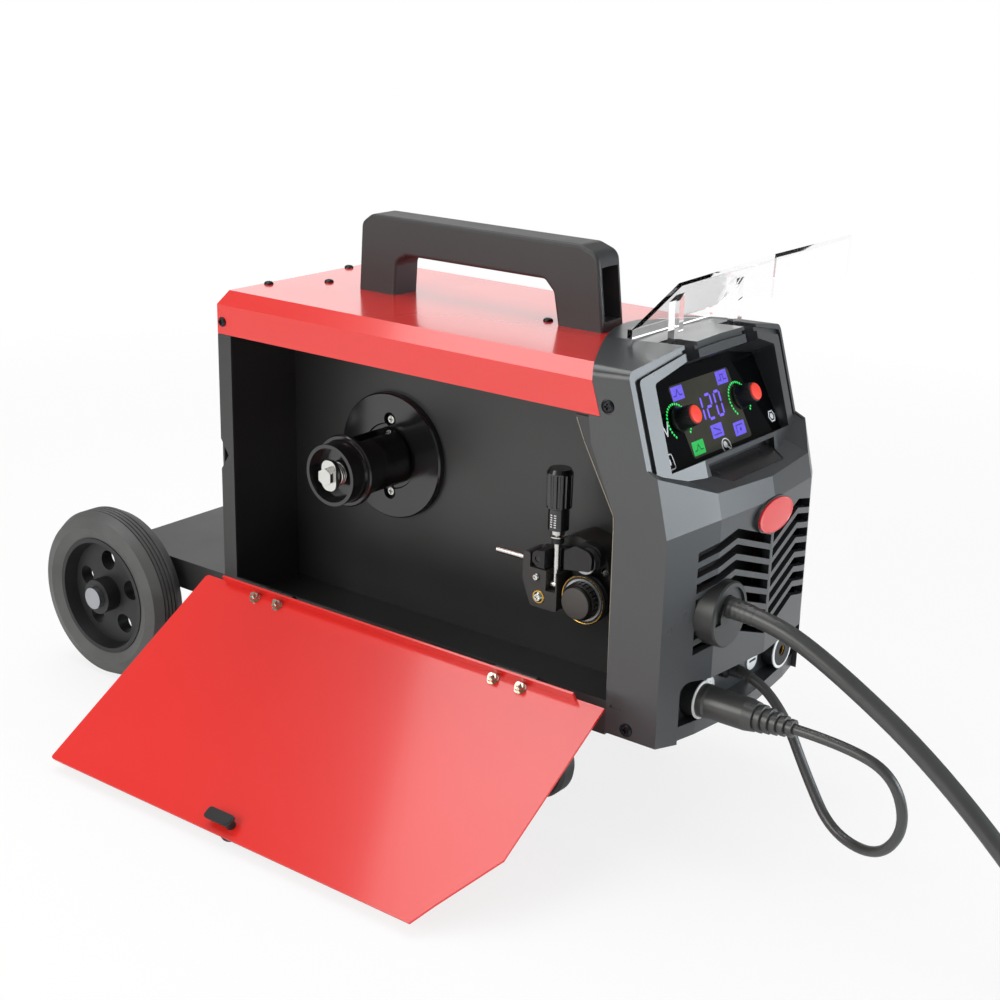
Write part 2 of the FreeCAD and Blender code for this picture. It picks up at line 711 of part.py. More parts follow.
def make_bezel():
    hood = hood_block(0, HOOD_REAR_MID_Y + 1).common(hood_plan())
    hood = hood.cut(cover_room()).cut(group(frame_groove()))
    side = rear_edge(0)[:5] + [(RIDGE_Y, REAR_Z), (frame_y(RIDGE_FOOT_Z), RIDGE_FOOT_Z), CHIN_TOP,
                               (CORNER_Y, CHIN_LOW_Z), (CORNER_Y, FLOOR_Z - 5)]
    side = [(y, max(z, FLOOR_Z)) for y, z in side]
    outer = fuse([hood, chin_block(0, 0, 0, 0)] + both(prism_yz(side, -HALF_W, -HALF_W + WALL)))
    badge_pad = Part.Ellipse(V(0, 0, 0), BADGE[0] + 1.2, BADGE[1] + 1.2)
    pad = Part.Face(Part.Wire(badge_pad.toShape())).extrude(V(0, 0, 5))
    pad.rotate(V(0, 0, 0), V(1, 0, 0), 90)
    pad.translate(V(0, NOSE_Y + 4.2, BADGE[2]))
    outer = fuse([outer, pad])
    behind = GLASS_T + 0.2
    back_low = glass_point(0, -40, -behind)
    back_high = glass_point(0, 140, -behind)
    space = prism_yz([(back_low.y, back_low.z), (back_high.y, back_high.z), (90, back_high.z),
                      (90, back_low.z)], -HALF_W, HALF_W)
    inner_rear = prism_yz([(FRONT_Y - 80, 140), (60, 140), (60, REAR_Z), (rear_y(REAR_Z) + 6, REAR_Z),
                           (rear_y(300) + 6, 300), (FRONT_Y - 80, 300)], -HALF_W, HALF_W)
    upper = hood_block(WALL, HOOD_REAR_MID_Y + 1).common(space).common(inner_rear)
    lower = chin_block(WALL, FRONT_WALL, WALL, WALL)
    keep = fuse([prism_xz(pocket_profile(WALL), NOSE_Y - 10, POCKET_Y + WALL),
                 box(-POCKET_X - WALL, POCKET_X + WALL, NOSE_Y - 10, POCKET_Y + WALL, FLOOR_Z,
                     POCKET_BOTTOM)])
    bezel = outer.cut(upper).cut(lower.cut(keep))
    bezel = bezel.cut(box(-HALF_W + WALL, HALF_W - WALL, FRONT_Y - 12, 60, FLOOR_Z + WALL, 200))
    bezel = bezel.cut(prism_xz(pocket_profile(0), NOSE_Y - 10, POCKET_Y))
    lip = [(-POCKET_X, NOSE_Y - 10), (-POCKET_X, LIP_KINK_Y + 5), (-KINK_X, LIP_KINK_Y), (0, LIP_NOSE_Y),
           (KINK_X, LIP_KINK_Y), (POCKET_X, LIP_KINK_Y + 5), (POCKET_X, NOSE_Y - 10)]
    bezel = bezel.cut(prism_xy(lip, FLOOR_Z - 1, POCKET_BOTTOM + 1))
    cuts = grille_slots()
    cuts.append(rod((WIRE_X, NOSE_Y - 10, WIRE_Z), (0, 1, 0), BOSS_R + GAP, 45))
    cuts.append(glass_prism(panel_outline(0, OPEN_BOTTOM_U), -0.01, 60))
    cuts.append(glass_prism(panel_outline(3.0, OPEN_BOTTOM_U - 5), -GLASS_T - 0.5, 0))
    for x in (-ARM_X, ARM_X):
        cuts.append(box(x - NOTCH_W / 2, x + NOTCH_W / 2, NOSE_Y, HINGE_YZ[0] + 9, NOTCH_FLOOR_Z, 300))
    for x in (-SOCKET_X, SOCKET_X):
        cuts.append(rod((x, POCKET_Y - 1, SOCKET_Z), (0, 1, 0), SOCKET_NECK_R + FIT, WALL + 2))
    cuts.append(rod((LEAD_START[0], POCKET_Y - 1, LEAD_START[2]), (0, 1, 0), LEAD_NECK_R + FIT, WALL + 2))
    label = [(-54, -48, 3), (54, -48, 3), (38, -72, 5), (-38, -72, 5)]
    slope = (SHELF_FOOT[1] - CHIN_KINK_TOP[1]) / (SHELF_FOOT[0] - CHIN_KINK_TOP[0])
    recess_z = SHELF_FOOT[1] - 0.8
    recess = Part.Face(outline(label, lambda x, y: V(x, y, recess_z + (y - SHELF_FOOT[0]) * slope)))
    cuts.append(recess.extrude(V(0, 0, 9)))
    cuts.extend(both(box(-HALF_W - 1, -HALF_W + 1, -31, -21, -3.6, -1.2)))
    for y, z in BEZEL_SCREWS:
        cuts.extend(both(rod((-HALF_W - 1, y, z), (1, 0, 0), 5.6, 1 + 1.2)))
    bezel = bezel.cut(group(cuts))
    pins = [rod((x - NOTCH_W / 2 - 2, HINGE_YZ[0], HINGE_YZ[1]), (1, 0, 0), PIN_R, NOTCH_W + 4)
            for x in (-ARM_X, ARM_X)]
    add("front_bezel", fuse([bezel] + pins))


def make_panel():
    plate = glass_prism(panel_outline(3.0 - GAP, OPEN_BOTTOM_U - 4.7), -GLASS_T, -FIT)
    holes = [rod(tuple(glass_point(x, KNOB_U, -GLASS_T - 1)),
                 tuple(glass_point(0, 0, 1) - glass_point(0, 0)),
                 SHAFT_R + FIT, GLASS_T + 2) for x in (-KNOB_X, KNOB_X)]
    add("control_panel", plate.cut(group(holes)))


def make_knobs():
    out = tuple(glass_point(0, 0, 1) - glass_point(0, 0))
    body = [(0, -GLASS_T - 1), (SHAFT_R, -GLASS_T - 1), (SHAFT_R, GAP), (KNOB_R, GAP), (KNOB_R, 2.4),
            (KNOB_R - 0.7, 3.0), (KNOB_TIP_R, KNOB_L - 0.6), (KNOB_TIP_R - 0.6, KNOB_L), (CAP_R, KNOB_L),
            (CAP_R, KNOB_L + 0.4), (CAP_R - 0.8, KNOB_L + 1.0), (0, KNOB_L + 1.0)]
    for name, x in (("left", -KNOB_X), ("right", KNOB_X)):
        add("knob_" + name, turned(body, tuple(glass_point(x, KNOB_U)), out))


def make_badge():
    face = Part.Face(Part.Wire(Part.Ellipse(V(0, 0, 0), BADGE[0], BADGE[1]).toShape()))
    disc = face.extrude(V(0, 0, 1.5))
    disc.rotate(V(0, 0, 0), V(1, 0, 0), 90)
    disc.translate(V(0, NOSE_Y - 0.8, BADGE[2]))
    add("badge", disc)


def make_clear_cover():
    """Clear visor with a rim at its back and cheeks at its sides, on two arms that turn on pins."""
    x = COVER_X
    heel = (RIM_Y[1] - PLATE_T, RIM_Z[1] - 1)
    plate = [heel, PLATE_KNEE, PLATE_END]
    inner = offset_line(plate, -PLATE_T)
    ends = []
    for near, far in ((inner[0], inner[1]), (inner[2], inner[1])):
        away = V(near[0] - far[0], near[1] - far[1], 0).normalize() * 20
        ends.append((near[0] + away.x, near[1] + away.y))
    below = GROUND_Z
    room = [ends[0], inner[1], ends[1], (ends[1][0], below), (ends[0][0], below)]
    visor = prism_yz(plate + [CHEEK_END, CHEEK_LOW, CHEEK_BACK], -x, x)
    visor = visor.cut(prism_yz(room, -x + PLATE_T, x - PLATE_T))
    rim = box(-x, x, RIM_Y[0], RIM_Y[1], RIM_Z[0], RIM_Z[1])
    y, z = HINGE_YZ
    slope = (PLATE_KNEE[1] - heel[1]) / (PLATE_KNEE[0] - heel[0])
    tops = [heel[1] + (edge - heel[0]) * slope - PLATE_T * 0.7 for edge in (y + 3.0, y - 3.0)]
    arm = [(y - 3.0, z), (y + 3.0, z), (y + 3.0, tops[0]), (y - 3.0, tops[1])]
    pieces = [visor, rim]
    bores = []
    for centre in (-ARM_X, ARM_X):
        pieces.append(prism_yz(arm, centre - ARM_W / 2, centre + ARM_W / 2))
        pieces.append(rod((centre - ARM_W / 2, y, z), (1, 0, 0), 3.4, ARM_W))
        bores.append(rod((centre - ARM_W, y, z), (1, 0, 0), PIN_R + FIT, 2 * ARM_W))
    add("clear_cover", fuse(pieces).cut(group(bores)))


# Door

def swing(shape):
    shape = shape.copy()
    shape.rotate(V(DOOR_PIN_X, 0, DOOR_PIN_Z), V(0, 1, 0), -DOOR_OPEN)
    return shape


def make_door():
    inner = DOOR_INNER_X
    front = DOOR_FRONT_Y
    shape = [(front, DOOR_FOOT_Z), (DOOR_REAR_Y, DOOR_FOOT_Z, 3), (DOOR_REAR_Y, DOOR_TOP_Z, 3),
             (12.0, DOOR_TOP_Z), (3.0, 196.0), (front, 146.0)]
    panel = prism_yz(shape, inner - SHEET, inner)
    flange = box(inner - SHEET, inner + DOOR_FLANGE_W, 0.7, COVER_L - POST_W - 1, DOOR_FOOT_Z,
                 DOOR_FOOT_Z + SHEET)
    door = fuse([panel, flange])
    holes = []
    for y in HINGE_Y:
        for dy in (-HINGE_BOLT[0], HINGE_BOLT[0]):
            spot = (inner - SHEET - 3, y + dy, DOOR_PIN_Z + HINGE_BOLT[1])
            holes.append(rod(spot, (1, 0, 0), HINGE_BOLT_R + FIT, 8))
    holes.append(rod((inner - SHEET - 1, LATCH_Y, LATCH_Z), (1, 0, 0), LATCH_R + FIT, SHEET + 2))
    for y in HINGE_Y:
        room = KNUCKLE_L * 1.5 + 1
        holes.append(box(inner - SHEET - 1, inner + DOOR_FLANGE_W + 1, y - room, y + room, DOOR_FOOT_Z - 1,
                         DOOR_FOOT_Z))
    door = door.cut(group(holes))
    add("side_door", swing(door))

    leaves = []
    for y in HINGE_Y:
        back = inner - SHEET
        leaf = box(back - LEAF_T, back, y - KNUCKLE_L * 1.5, y + KNUCKLE_L * 1.5, DOOR_PIN_Z + 4.6,
                   DOOR_PIN_Z + 20)
        for side in (-1, 1):
            start = y + side * KNUCKLE_L - KNUCKLE_L / 2 + 0.2
            knuckle = rod((DOOR_PIN_X, start, DOOR_PIN_Z), (0, 1, 0), KNUCKLE_R, KNUCKLE_L - 0.4)
            web = box(back - LEAF_T, back, start, start + KNUCKLE_L - 0.4, DOOR_PIN_Z, DOOR_PIN_Z + 5)
            leaf = fuse([leaf, knuckle, web])
        leaf = leaf.cut(rod((DOOR_PIN_X, y - 30, DOOR_PIN_Z), (0, 1, 0), HINGE_PIN_R + FIT, 60))
        for dy in (-HINGE_BOLT[0], HINGE_BOLT[0]):
            spot = (back - 3, y + dy, DOOR_PIN_Z + HINGE_BOLT[1])
            leaf = leaf.cut(rod(spot, (1, 0, 0), HINGE_BOLT_R + FIT, 6))
        leaves.append(swing(leaf))
    add("door_leaves", group(leaves))

    studs = []
    head_h = 2.2
    for y in HINGE_Y:
        for dy in (-HINGE_BOLT[0], HINGE_BOLT[0]):
            z = DOOR_PIN_Z + HINGE_BOLT[1]
            spot = (inner - SHEET - LEAF_T - head_h, y + dy, z)
            stud = rod(spot, (1, 0, 0), HINGE_BOLT_R, SHEET + LEAF_T + head_h + 7)
            head = rod(spot, (1, 0, 0), 3.8, head_h)
            washer = rod((inner, y + dy, z), (1, 0, 0), 4.8, 1.0)
            studs.append(swing(fuse([stud, head, washer, hexagon(inner + 1.0, y + dy, z, 4.0, 3.2, 0)])))
    add("door_nuts", group(studs))

    back = inner - SHEET
    y = LATCH_Y
    knob = turned([(0, 0), (11, 0), (11, 3), (9.5, 4.5), (0, 4.5)], (back - GAP, y, LATCH_Z), (-1, 0, 0))
    wing = box(back - GAP - 9, back - GAP - 4, y - 9, y + 9, LATCH_Z - 2, LATCH_Z + 2)
    shaft = rod((back - GAP - 0.5, y, LATCH_Z), (1, 0, 0), LATCH_R, 11.2)
    cam = prism_yz([(y - 5, LATCH_Z - 5, 3), (y + 22, LATCH_Z - 5, 3), (y + 22, LATCH_Z + 5, 3),
                    (y - 5, LATCH_Z + 5, 3)], inner + 6.2, inner + 8.0)
    add("door_latch", swing(fuse([knob, wing, shaft, cam])))


def make_hinge_leaves():
    leaves = []
    for y in HINGE_Y:
        low = DOOR_PIN_Z - 22
        leaf = box(-HALF_W - LEAF_T, -HALF_W, y - KNUCKLE_L * 1.5, y + KNUCKLE_L * 1.5, low, DOOR_PIN_Z - 4)
        half = KNUCKLE_L / 2 - 0.2
        arm = box(DOOR_PIN_X, -HALF_W, y - half, y + half, DOOR_PIN_Z - 4, DOOR_PIN_Z - 2)
        knuckle = rod((DOOR_PIN_X, y - half, DOOR_PIN_Z), (0, 1, 0), KNUCKLE_R, 2 * half)
        pin = rod((DOOR_PIN_X, y - KNUCKLE_L * 1.5, DOOR_PIN_Z), (0, 1, 0), HINGE_PIN_R, KNUCKLE_L * 3)
        leaves.append(fuse([leaf, arm, knuckle, pin]))
    add("hinge_leaves", group(leaves))


# Spool holder, on an axis across the compartment

def along_spool(profile):
    return turned(profile, (DIVIDER_X, SPOOL_Y, SPOOL_Z), (-1, 0, 0))


def make_spool_holder():
    flange = along_spool([(0, 0), (FLANGE_R, 0), (FLANGE_R, FLANGE_T - 1.2), (FLANGE_R - 1.2, FLANGE_T),
                          (SLEEVE_R + 4, FLANGE_T), (SLEEVE_R + 3, FLANGE_T - 1.2), (0, FLANGE_T - 1.2)])
    for side in (-1, 1):
        spot = (DIVIDER_X - FLANGE_T - 1, SPOOL_Y, SPOOL_Z + side * FLANGE_SCREW)
        flange = flange.cut(rod(spot, (1, 0, 0), 6.5, FLANGE_T - 2.0 + 1))
    start = FLANGE_T - 1.2
    spindle = along_spool([(0, start - 1), (SLEEVE_R - 8, start - 1), (SLEEVE_R - 8, start + 3),
                           (SPINDLE_R, start + 3), (SPINDLE_R, SPINDLE_END), (0, SPINDLE_END)])
    add("spool_holder", fuse([flange, spindle]))
    s0 = start + 3 + GAP
    s1 = s0 + SLEEVE_L
    sleeve = along_spool([(SPINDLE_R + FIT, s0), (SLEEVE_R, s0), (SLEEVE_R, s1), (NUT_THREAD_R, s1),
                          (NUT_THREAD_R, s1 + 9), (SPINDLE_R + FIT, s1 + 9)])
    slot = box(DIVIDER_X - s1 + 8, DIVIDER_X - s0 - 8, SPOOL_Y - 7, SPOOL_Y + 7, SPOOL_Z - 40, SPOOL_Z + 40)
    keep = rod((DIVIDER_X, SPOOL_Y, SPOOL_Z), (-1, 0, 0), SLEEVE_R - 5, 90)
    add("spool_sleeve", sleeve.cut(slot.cut(keep)))
    n0 = s1 + GAP
    n1 = n0 + NUT_L
    nut = along_spool([(NUT_THREAD_R + FIT, n0), (NUT_FLANGE_R, n0), (NUT_FLANGE_R, n0 + 3.0),
                       (NUT_FLANGE_R - 1, n0 + 4.0), (NUT_R + 1, n0 + 4.0), (NUT_R, n0 + 6), (NUT_R, n1),
                       (NUT_R - 3, n1), (NUT_R - 4, n0 + 9), (NUT_THREAD_R + FIT, n0 + 9)])
    add("cup_nut", nut)
    clamp = [(SPOOL_Y - 8, SPOOL_Z + 13, 7), (SPOOL_Y - 8, SPOOL_Z - 13, 7), (SPOOL_Y + 8, SPOOL_Z - 13, 7),
             (SPOOL_Y + 8, SPOOL_Z + 13, 7)]
    plate_x = DIVIDER_X - SPINDLE_END
    plate = prism_yz(clamp, plate_x - 4, plate_x)
    add("clamp_plate", plate)
    bolt = hexagon(plate_x - 4 - 5.3, SPOOL_Y, SPOOL_Z, 7.5, 5.3, 30)
    turns = 3
    first = plate_x + 1.2
    last = DIVIDER_X - s1 - 9 - 1.2

    def spring_point(t):
        angle = t * math.pi / 2
        x = first + (last - first) * t / (4 * turns)
        return V(x, SPOOL_Y + BRAKE_SPRING_R * math.cos(angle), SPOOL_Z + BRAKE_SPRING_R * math.sin(angle))
    add("brake_spring", wound(spring_point, 4 * turns, BRAKE_WIRE_D, "brake spring", BRAKE_WIRE_D)[0])
    return bolt


# Wire feeder

def make_feeder():
    x0 = DIVIDER_X
    face_x = GEAR_FACE_X
    gear = prism_yz([(22, 30, 10), (84, 30, 8), (84, 84, 10), (60, 97, 14), (30, 92, 16), (22, 60, 8)],
                    face_x, x0)
    gear = gear.cut(rod((face_x - 1, DRIVE_Y, DRIVE_Z), (1, 0, 0), FEED_SHAFT_R + FIT, 14))
    neck = rod((x0, MOTOR_Y, MOTOR_Z), (1, 0, 0), MOTOR_NECK_R, SHEET + 0.1)
    motor = turned([(0, SHEET), (MOTOR_R, SHEET), (MOTOR_R, 60), (MOTOR_R - 2, 62), (9, 62), (9, 66),
                    (0, 66)], (x0, MOTOR_Y, MOTOR_Z), (1, 0, 0))
    add("feed_motor", fuse([gear, neck, motor]))
    body = prism_yz([(60, 38, 2), (85, 38, 3), (93, 58, 4), (93, 82, 3), (86, 82, 2), (86, 70),
                     (60, 70, 2)], BODY_FRONT_X, face_x)
    hinge_room = box(BODY_FRONT_X - 1, WIRE_X + 4.4, POST_Y - 4.6, POST_Y + 4.6, POST_PIVOT_Z - 4.5, 71)
    inlet = turned([(0, 0), (GUIDE_R - 0.6, 0), (GUIDE_R, 1), (GUIDE_R, 36), (0, 36)],
                   (WIRE_X, 124, WIRE_Z), (0, -1, 0))
    wire_hole = rod((WIRE_X, 50, WIRE_Z), (0, 1, 0), 1.2, 80)
    lug = prism_yz([(ARM_PIVOT[0] - 5, 69), (86, 69), (86, 84, 2), (ARM_PIVOT[0] - 5, 84, 3)],
                   face_x - 6, face_x)
    body = fuse([body, lug, inlet]).cut(hinge_room).cut(wire_hole)
    pivot = rod((BODY_FRONT_X + 1, ARM_PIVOT[0], ARM_PIVOT[1]), (1, 0, 0), 2.5, face_x - BODY_FRONT_X - 2)
    post_pin = rod((WIRE_X, POST_Y - 6, POST_PIVOT_Z), (0, 1, 0), 1.5, 12)
    add("feeder_body", fuse([body, pivot, post_pin]))
    shaft_end = face_x + 12
    roll = turned([(0, 0), (FEED_SHAFT_R, 0), (FEED_SHAFT_R, shaft_end - ROLL_X - ROLL_W / 2),
                   (DRIVE_R - 1, shaft_end - ROLL_X - ROLL_W / 2),
                   (DRIVE_R, shaft_end - ROLL_X - ROLL_W / 2 + 1),
                   (DRIVE_R, shaft_end - ROLL_X - 1), (DRIVE_R - 1, shaft_end - ROLL_X),
                   (DRIVE_R, shaft_end - ROLL_X + 1), (DRIVE_R, shaft_end - ROLL_X + ROLL_W / 2 - 1),
                   (DRIVE_R - 1, shaft_end - ROLL_X + ROLL_W / 2), (0, shaft_end - ROLL_X + ROLL_W / 2)],
                  (shaft_end, DRIVE_Y, DRIVE_Z), (-1, 0, 0))
    add("drive_roll", roll)
    cap = turned([(0, 0), (FEED_CAP_R + 1.5, 0), (FEED_CAP_R + 1.5, 5.5), (FEED_CAP_R, 7),
                  (FEED_CAP_R, 9.0),
                  (FEED_CAP_R - 0.8, 10), (0, 10)], (ROLL_X - ROLL_W / 2, DRIVE_Y, DRIVE_Z), (-1, 0, 0))
    knurls = []
    for k in range(24):
        angle = math.radians(k * 15)
        spot = (ROLL_X - ROLL_W / 2 - 6, DRIVE_Y + (FEED_CAP_R + 1.9) * math.cos(angle),
                DRIVE_Z + (FEED_CAP_R + 1.9) * math.sin(angle))
        cut = box(-3.5, 5, -0.9, 0.9, -0.9, 0.9)
        cut.rotate(V(0, 0, 0), V(1, 0, 0), 15 * k + 45)
        cut.translate(V(*spot))
        knurls.append(cut)
    add("roll_cap", cap.cut(group(knurls)))

    press_z = WIRE_Z + 0.3 + PRESS_R
    py, pz = ARM_PIVOT
    side = [(py + 5.2, pz - 3, 3), (py + 5.2, pz + 6, 5), (58, 88, 8), (44, 97, 6), (28, 94, 7),
            (29, 79, 3), (54, 75.5, 3), (60, 71.2, 2), (py, 71.2, 3)]
    arm = prism_yz(side, BODY_FRONT_X, face_x - 0.5)
    inside = box(WIRE_X - PRESS_W / 2 - 0.5, WIRE_X + PRESS_W / 2 + 0.5, 20, DRIVE_Y + PRESS_R + 2, 60, 110)
    slot = box(BODY_FRONT_X - 1, WIRE_X + 4.6, POST_Y - 12, POST_Y + 6.5, 60, 110)
    lug_room = box(face_x - 6 - GAP, face_x, py - 6, py + 8, 60, 100)
    arm = arm.cut(inside).cut(slot).cut(lug_room)
    arm = arm.cut(rod((BODY_FRONT_X - 1, py, pz), (1, 0, 0), 2.5 + FIT, 40))
    axle = rod((BODY_FRONT_X, DRIVE_Y, press_z), (1, 0, 0), 2.5, face_x - 0.5 - BODY_FRONT_X)
    add("pressure_arm", fuse([arm, axle]))
    press = turned([(2.5 + FIT, 0), (PRESS_R - 0.6, 0), (PRESS_R, 0.6), (PRESS_R, PRESS_W - 0.6),
                    (PRESS_R - 0.6, PRESS_W), (2.5 + FIT, PRESS_W)],
                   (WIRE_X + PRESS_W / 2, DRIVE_Y, press_z), (-1, 0, 0))
    add("pressure_roll", press)

    eye = rod((WIRE_X, POST_Y - 3.5, POST_PIVOT_Z), (0, 1, 0), 3.6, 7)
    post = rod((WIRE_X, POST_Y, POST_PIVOT_Z), (0, 0, 1), POST_R, KNOB_TOP_Z - 8 - POST_PIVOT_Z)
    collar = rod((WIRE_X, POST_Y, KNOB_BASE_Z - 4), (0, 0, 1), 5.5, 4 - GAP)
    spindle = fuse([eye, post, collar]).cut(rod((WIRE_X, POST_Y - 8, POST_PIVOT_Z), (0, 1, 0), 1.5 + FIT,
                                                16))
    add("tension_spindle", spindle)
    knob = turned([(POST_R + FIT, 0), (8.3, 0), (8.3, KNOB_STEP_Z - KNOB_BASE_Z - 1),
                   (10, KNOB_STEP_Z - KNOB_BASE_Z), (10.3, KNOB_TOP_Z - KNOB_BASE_Z - 3),
                   (8.6, KNOB_TOP_Z - KNOB_BASE_Z), (0, KNOB_TOP_Z - KNOB_BASE_Z),
                   (0, KNOB_TOP_Z - 7.5 - KNOB_BASE_Z), (POST_R + FIT, KNOB_TOP_Z - 7.5 - KNOB_BASE_Z)],
                  (WIRE_X, POST_Y, KNOB_BASE_Z), (0, 0, 1))
    flutes = []
    for k in range(12):
        angle = math.radians(30 * k)
        spot = (WIRE_X + 11.0 * math.cos(angle), POST_Y + 11.0 * math.sin(angle), KNOB_STEP_Z + 1)
        flutes.append(rod(spot, (0, 0, 1), 1.7, KNOB_TOP_Z - KNOB_STEP_Z - 5))
    add("tension_knob", knob.cut(group(flutes)))


# Torch outlet, sockets and glands

def make_torch_socket():
    back = FRONT_Y
    length = back - BOSS_Y
    profile = [(0, 0), (BOSS_R - 1.2, 0), (BOSS_R, 1.2), (BOSS_R, 20), (15, 24), (15, length - 4),
               (22, length - 4), (22, length), (0, length)]
    boss = turned(profile, (WIRE_X, BOSS_Y, WIRE_Z), (0, 1, 0))
    ring = turned([(13.5, 0), (BOSS_R - 4, 0), (BOSS_R - 4, 2.2), (13.5, 2.2)],
                  (WIRE_X, BOSS_Y - 0.1, WIRE_Z), (0, 1, 0))
    crescent = box(WIRE_X - 30, WIRE_X + 30, BOSS_Y - 1, BOSS_Y + 3, WIRE_Z - 30, WIRE_Z - 4)
    boss = boss.cut(ring.cut(crescent))
    boss = boss.cut(rod((WIRE_X - 1, BOSS_Y - 1, HOSE_Z), (0, 1, 0), HOSE_D / 2 + 1.5,
                        1.3 + HOSE_START_Y - BOSS_Y))
    outlet = rod((WIRE_X, back - 1, WIRE_Z), (0, 1, 0), GUIDE_R, 14 - back + 1)
    boss = fuse([boss, outlet]).cut(rod((WIRE_X, back - 40, WIRE_Z), (0, 1, 0), 1.2, 80))
    add("torch_socket", boss)


def make_sockets():
    body = [(SOCKET_BORE_R, 0), (14.6, 0), (14.6, 1.0), (14.2, 1.2), (14.2, -SOCKET_FACE_Y + POCKET_Y),
            (SOCKET_NECK_R, -SOCKET_FACE_Y + POCKET_Y), (SOCKET_NECK_R, 34), (0, 34), (0, 27),
            (SOCKET_BORE_R, 27)]
    add("sockets", group(turned(body, (x, SOCKET_FACE_Y, SOCKET_Z), (0, 1, 0))
                         for x in (-SOCKET_X, SOCKET_X)))
    x, y, z = LEAD_START
    gland = turned([(0, 0), (LEAD_D / 2 + 2, 0), (LEAD_D / 2 + 4, 3), (LEAD_D / 2 + 4, POCKET_Y - y),
                    (LEAD_NECK_R, POCKET_Y - y), (LEAD_NECK_R, POCKET_Y - y + 8), (0, POCKET_Y - y + 8)],
                   (x, y, z), (0, 1, 0))
    mains = turned([(0, -8), (GLAND_R, -8), (GLAND_R, 2), (GLAND_R + 4, 2), (GLAND_R + 4, 7),
                    (GLAND_R + 1, 12),
                    (GLAND_R - 4, 17), (5.2, 17), (5.2, 6), (0, 6)], (MAINS_X, REAR_INNER_Y, MAINS_Z),
                   (0, 1, 0))
    add("cable_glands", group([gland, mains]))


def make_cords():
    """Torch hose, its put-away coil with the torch, and the short polarity lead with its plug."""
    def coil_point(t):
        turn = t / 4.0
        angle = math.pi + 2 * math.pi * turn
        climb = min(max((turn - COIL_TURNS_IN) * 2, 0), 1)
        radius = COIL_R - COIL_PITCH * (COIL_REVERSE - abs(turn - COIL_REVERSE))
        rise = COIL_PITCH * climb * climb * (3 - 2 * climb)
        return V(COIL_X + radius * math.cos(angle), COIL_Y + radius * math.sin(angle),
                 GROUND_Z + HOSE_D / 2 + 0.02 + rise)
    tube, start, heading, end = wound(coil_point, round(4 * COIL_TURNS), HOSE_D, "torch coil", COIL_RUN_OUT)
    add("torch_coil", tube)
    landing = start - heading * COIL_RUN_UP
    hose = [(WIRE_X - 1, HOSE_START_Y, HOSE_Z), (WIRE_X - 1, -118, 79), (WIRE_X - 1, -168, 60),
            (-62, -262, 4), (-71, -365, -86), tuple(landing), tuple(start)]
    add("torch_hose", sweep(hose, HOSE_D, "torch hose"))
    lead = [LEAD_START, (-12, -88, 8), (-13, -116, -16), (-18, -140, -56), (-27, -168, -90),
            (-40, -212, -90), (-52, -236, -52), (-60, -226, -10), (-SOCKET_X, -187, SOCKET_Z),
            (-SOCKET_X, PLUG_END_Y, SOCKET_Z)]
    add("polarity_lead", sweep(lead, LEAD_D, "polarity lead"))
    face = SOCKET_FACE_Y - GAP
    length = face - PLUG_END_Y
    relief = 46.0
    body_r = 12.4
    profile = [(0, -22), (4.5, -22), (4.5, 0), (13, 0), (13, 5), (body_r, 7), (body_r, relief - 8),
               (body_r - 1.2, relief)]
    ribs = 5
    step = (length - relief) / ribs
    for k in range(ribs):
        h = relief + k * step
        r = body_r - 1.8 - k * 0.95
        profile += [(r - 1.3, h + step * 0.1), (r - 1.3, h + step * 0.4), (r, h + step * 0.45),
                    (r, h + step * 0.95)]
    profile += [(6.0, length), (0, length)]
    add("polarity_plug", turned(profile, (-SOCKET_X, face, SOCKET_Z), (0, -1, 0)))
    make_torch(end)


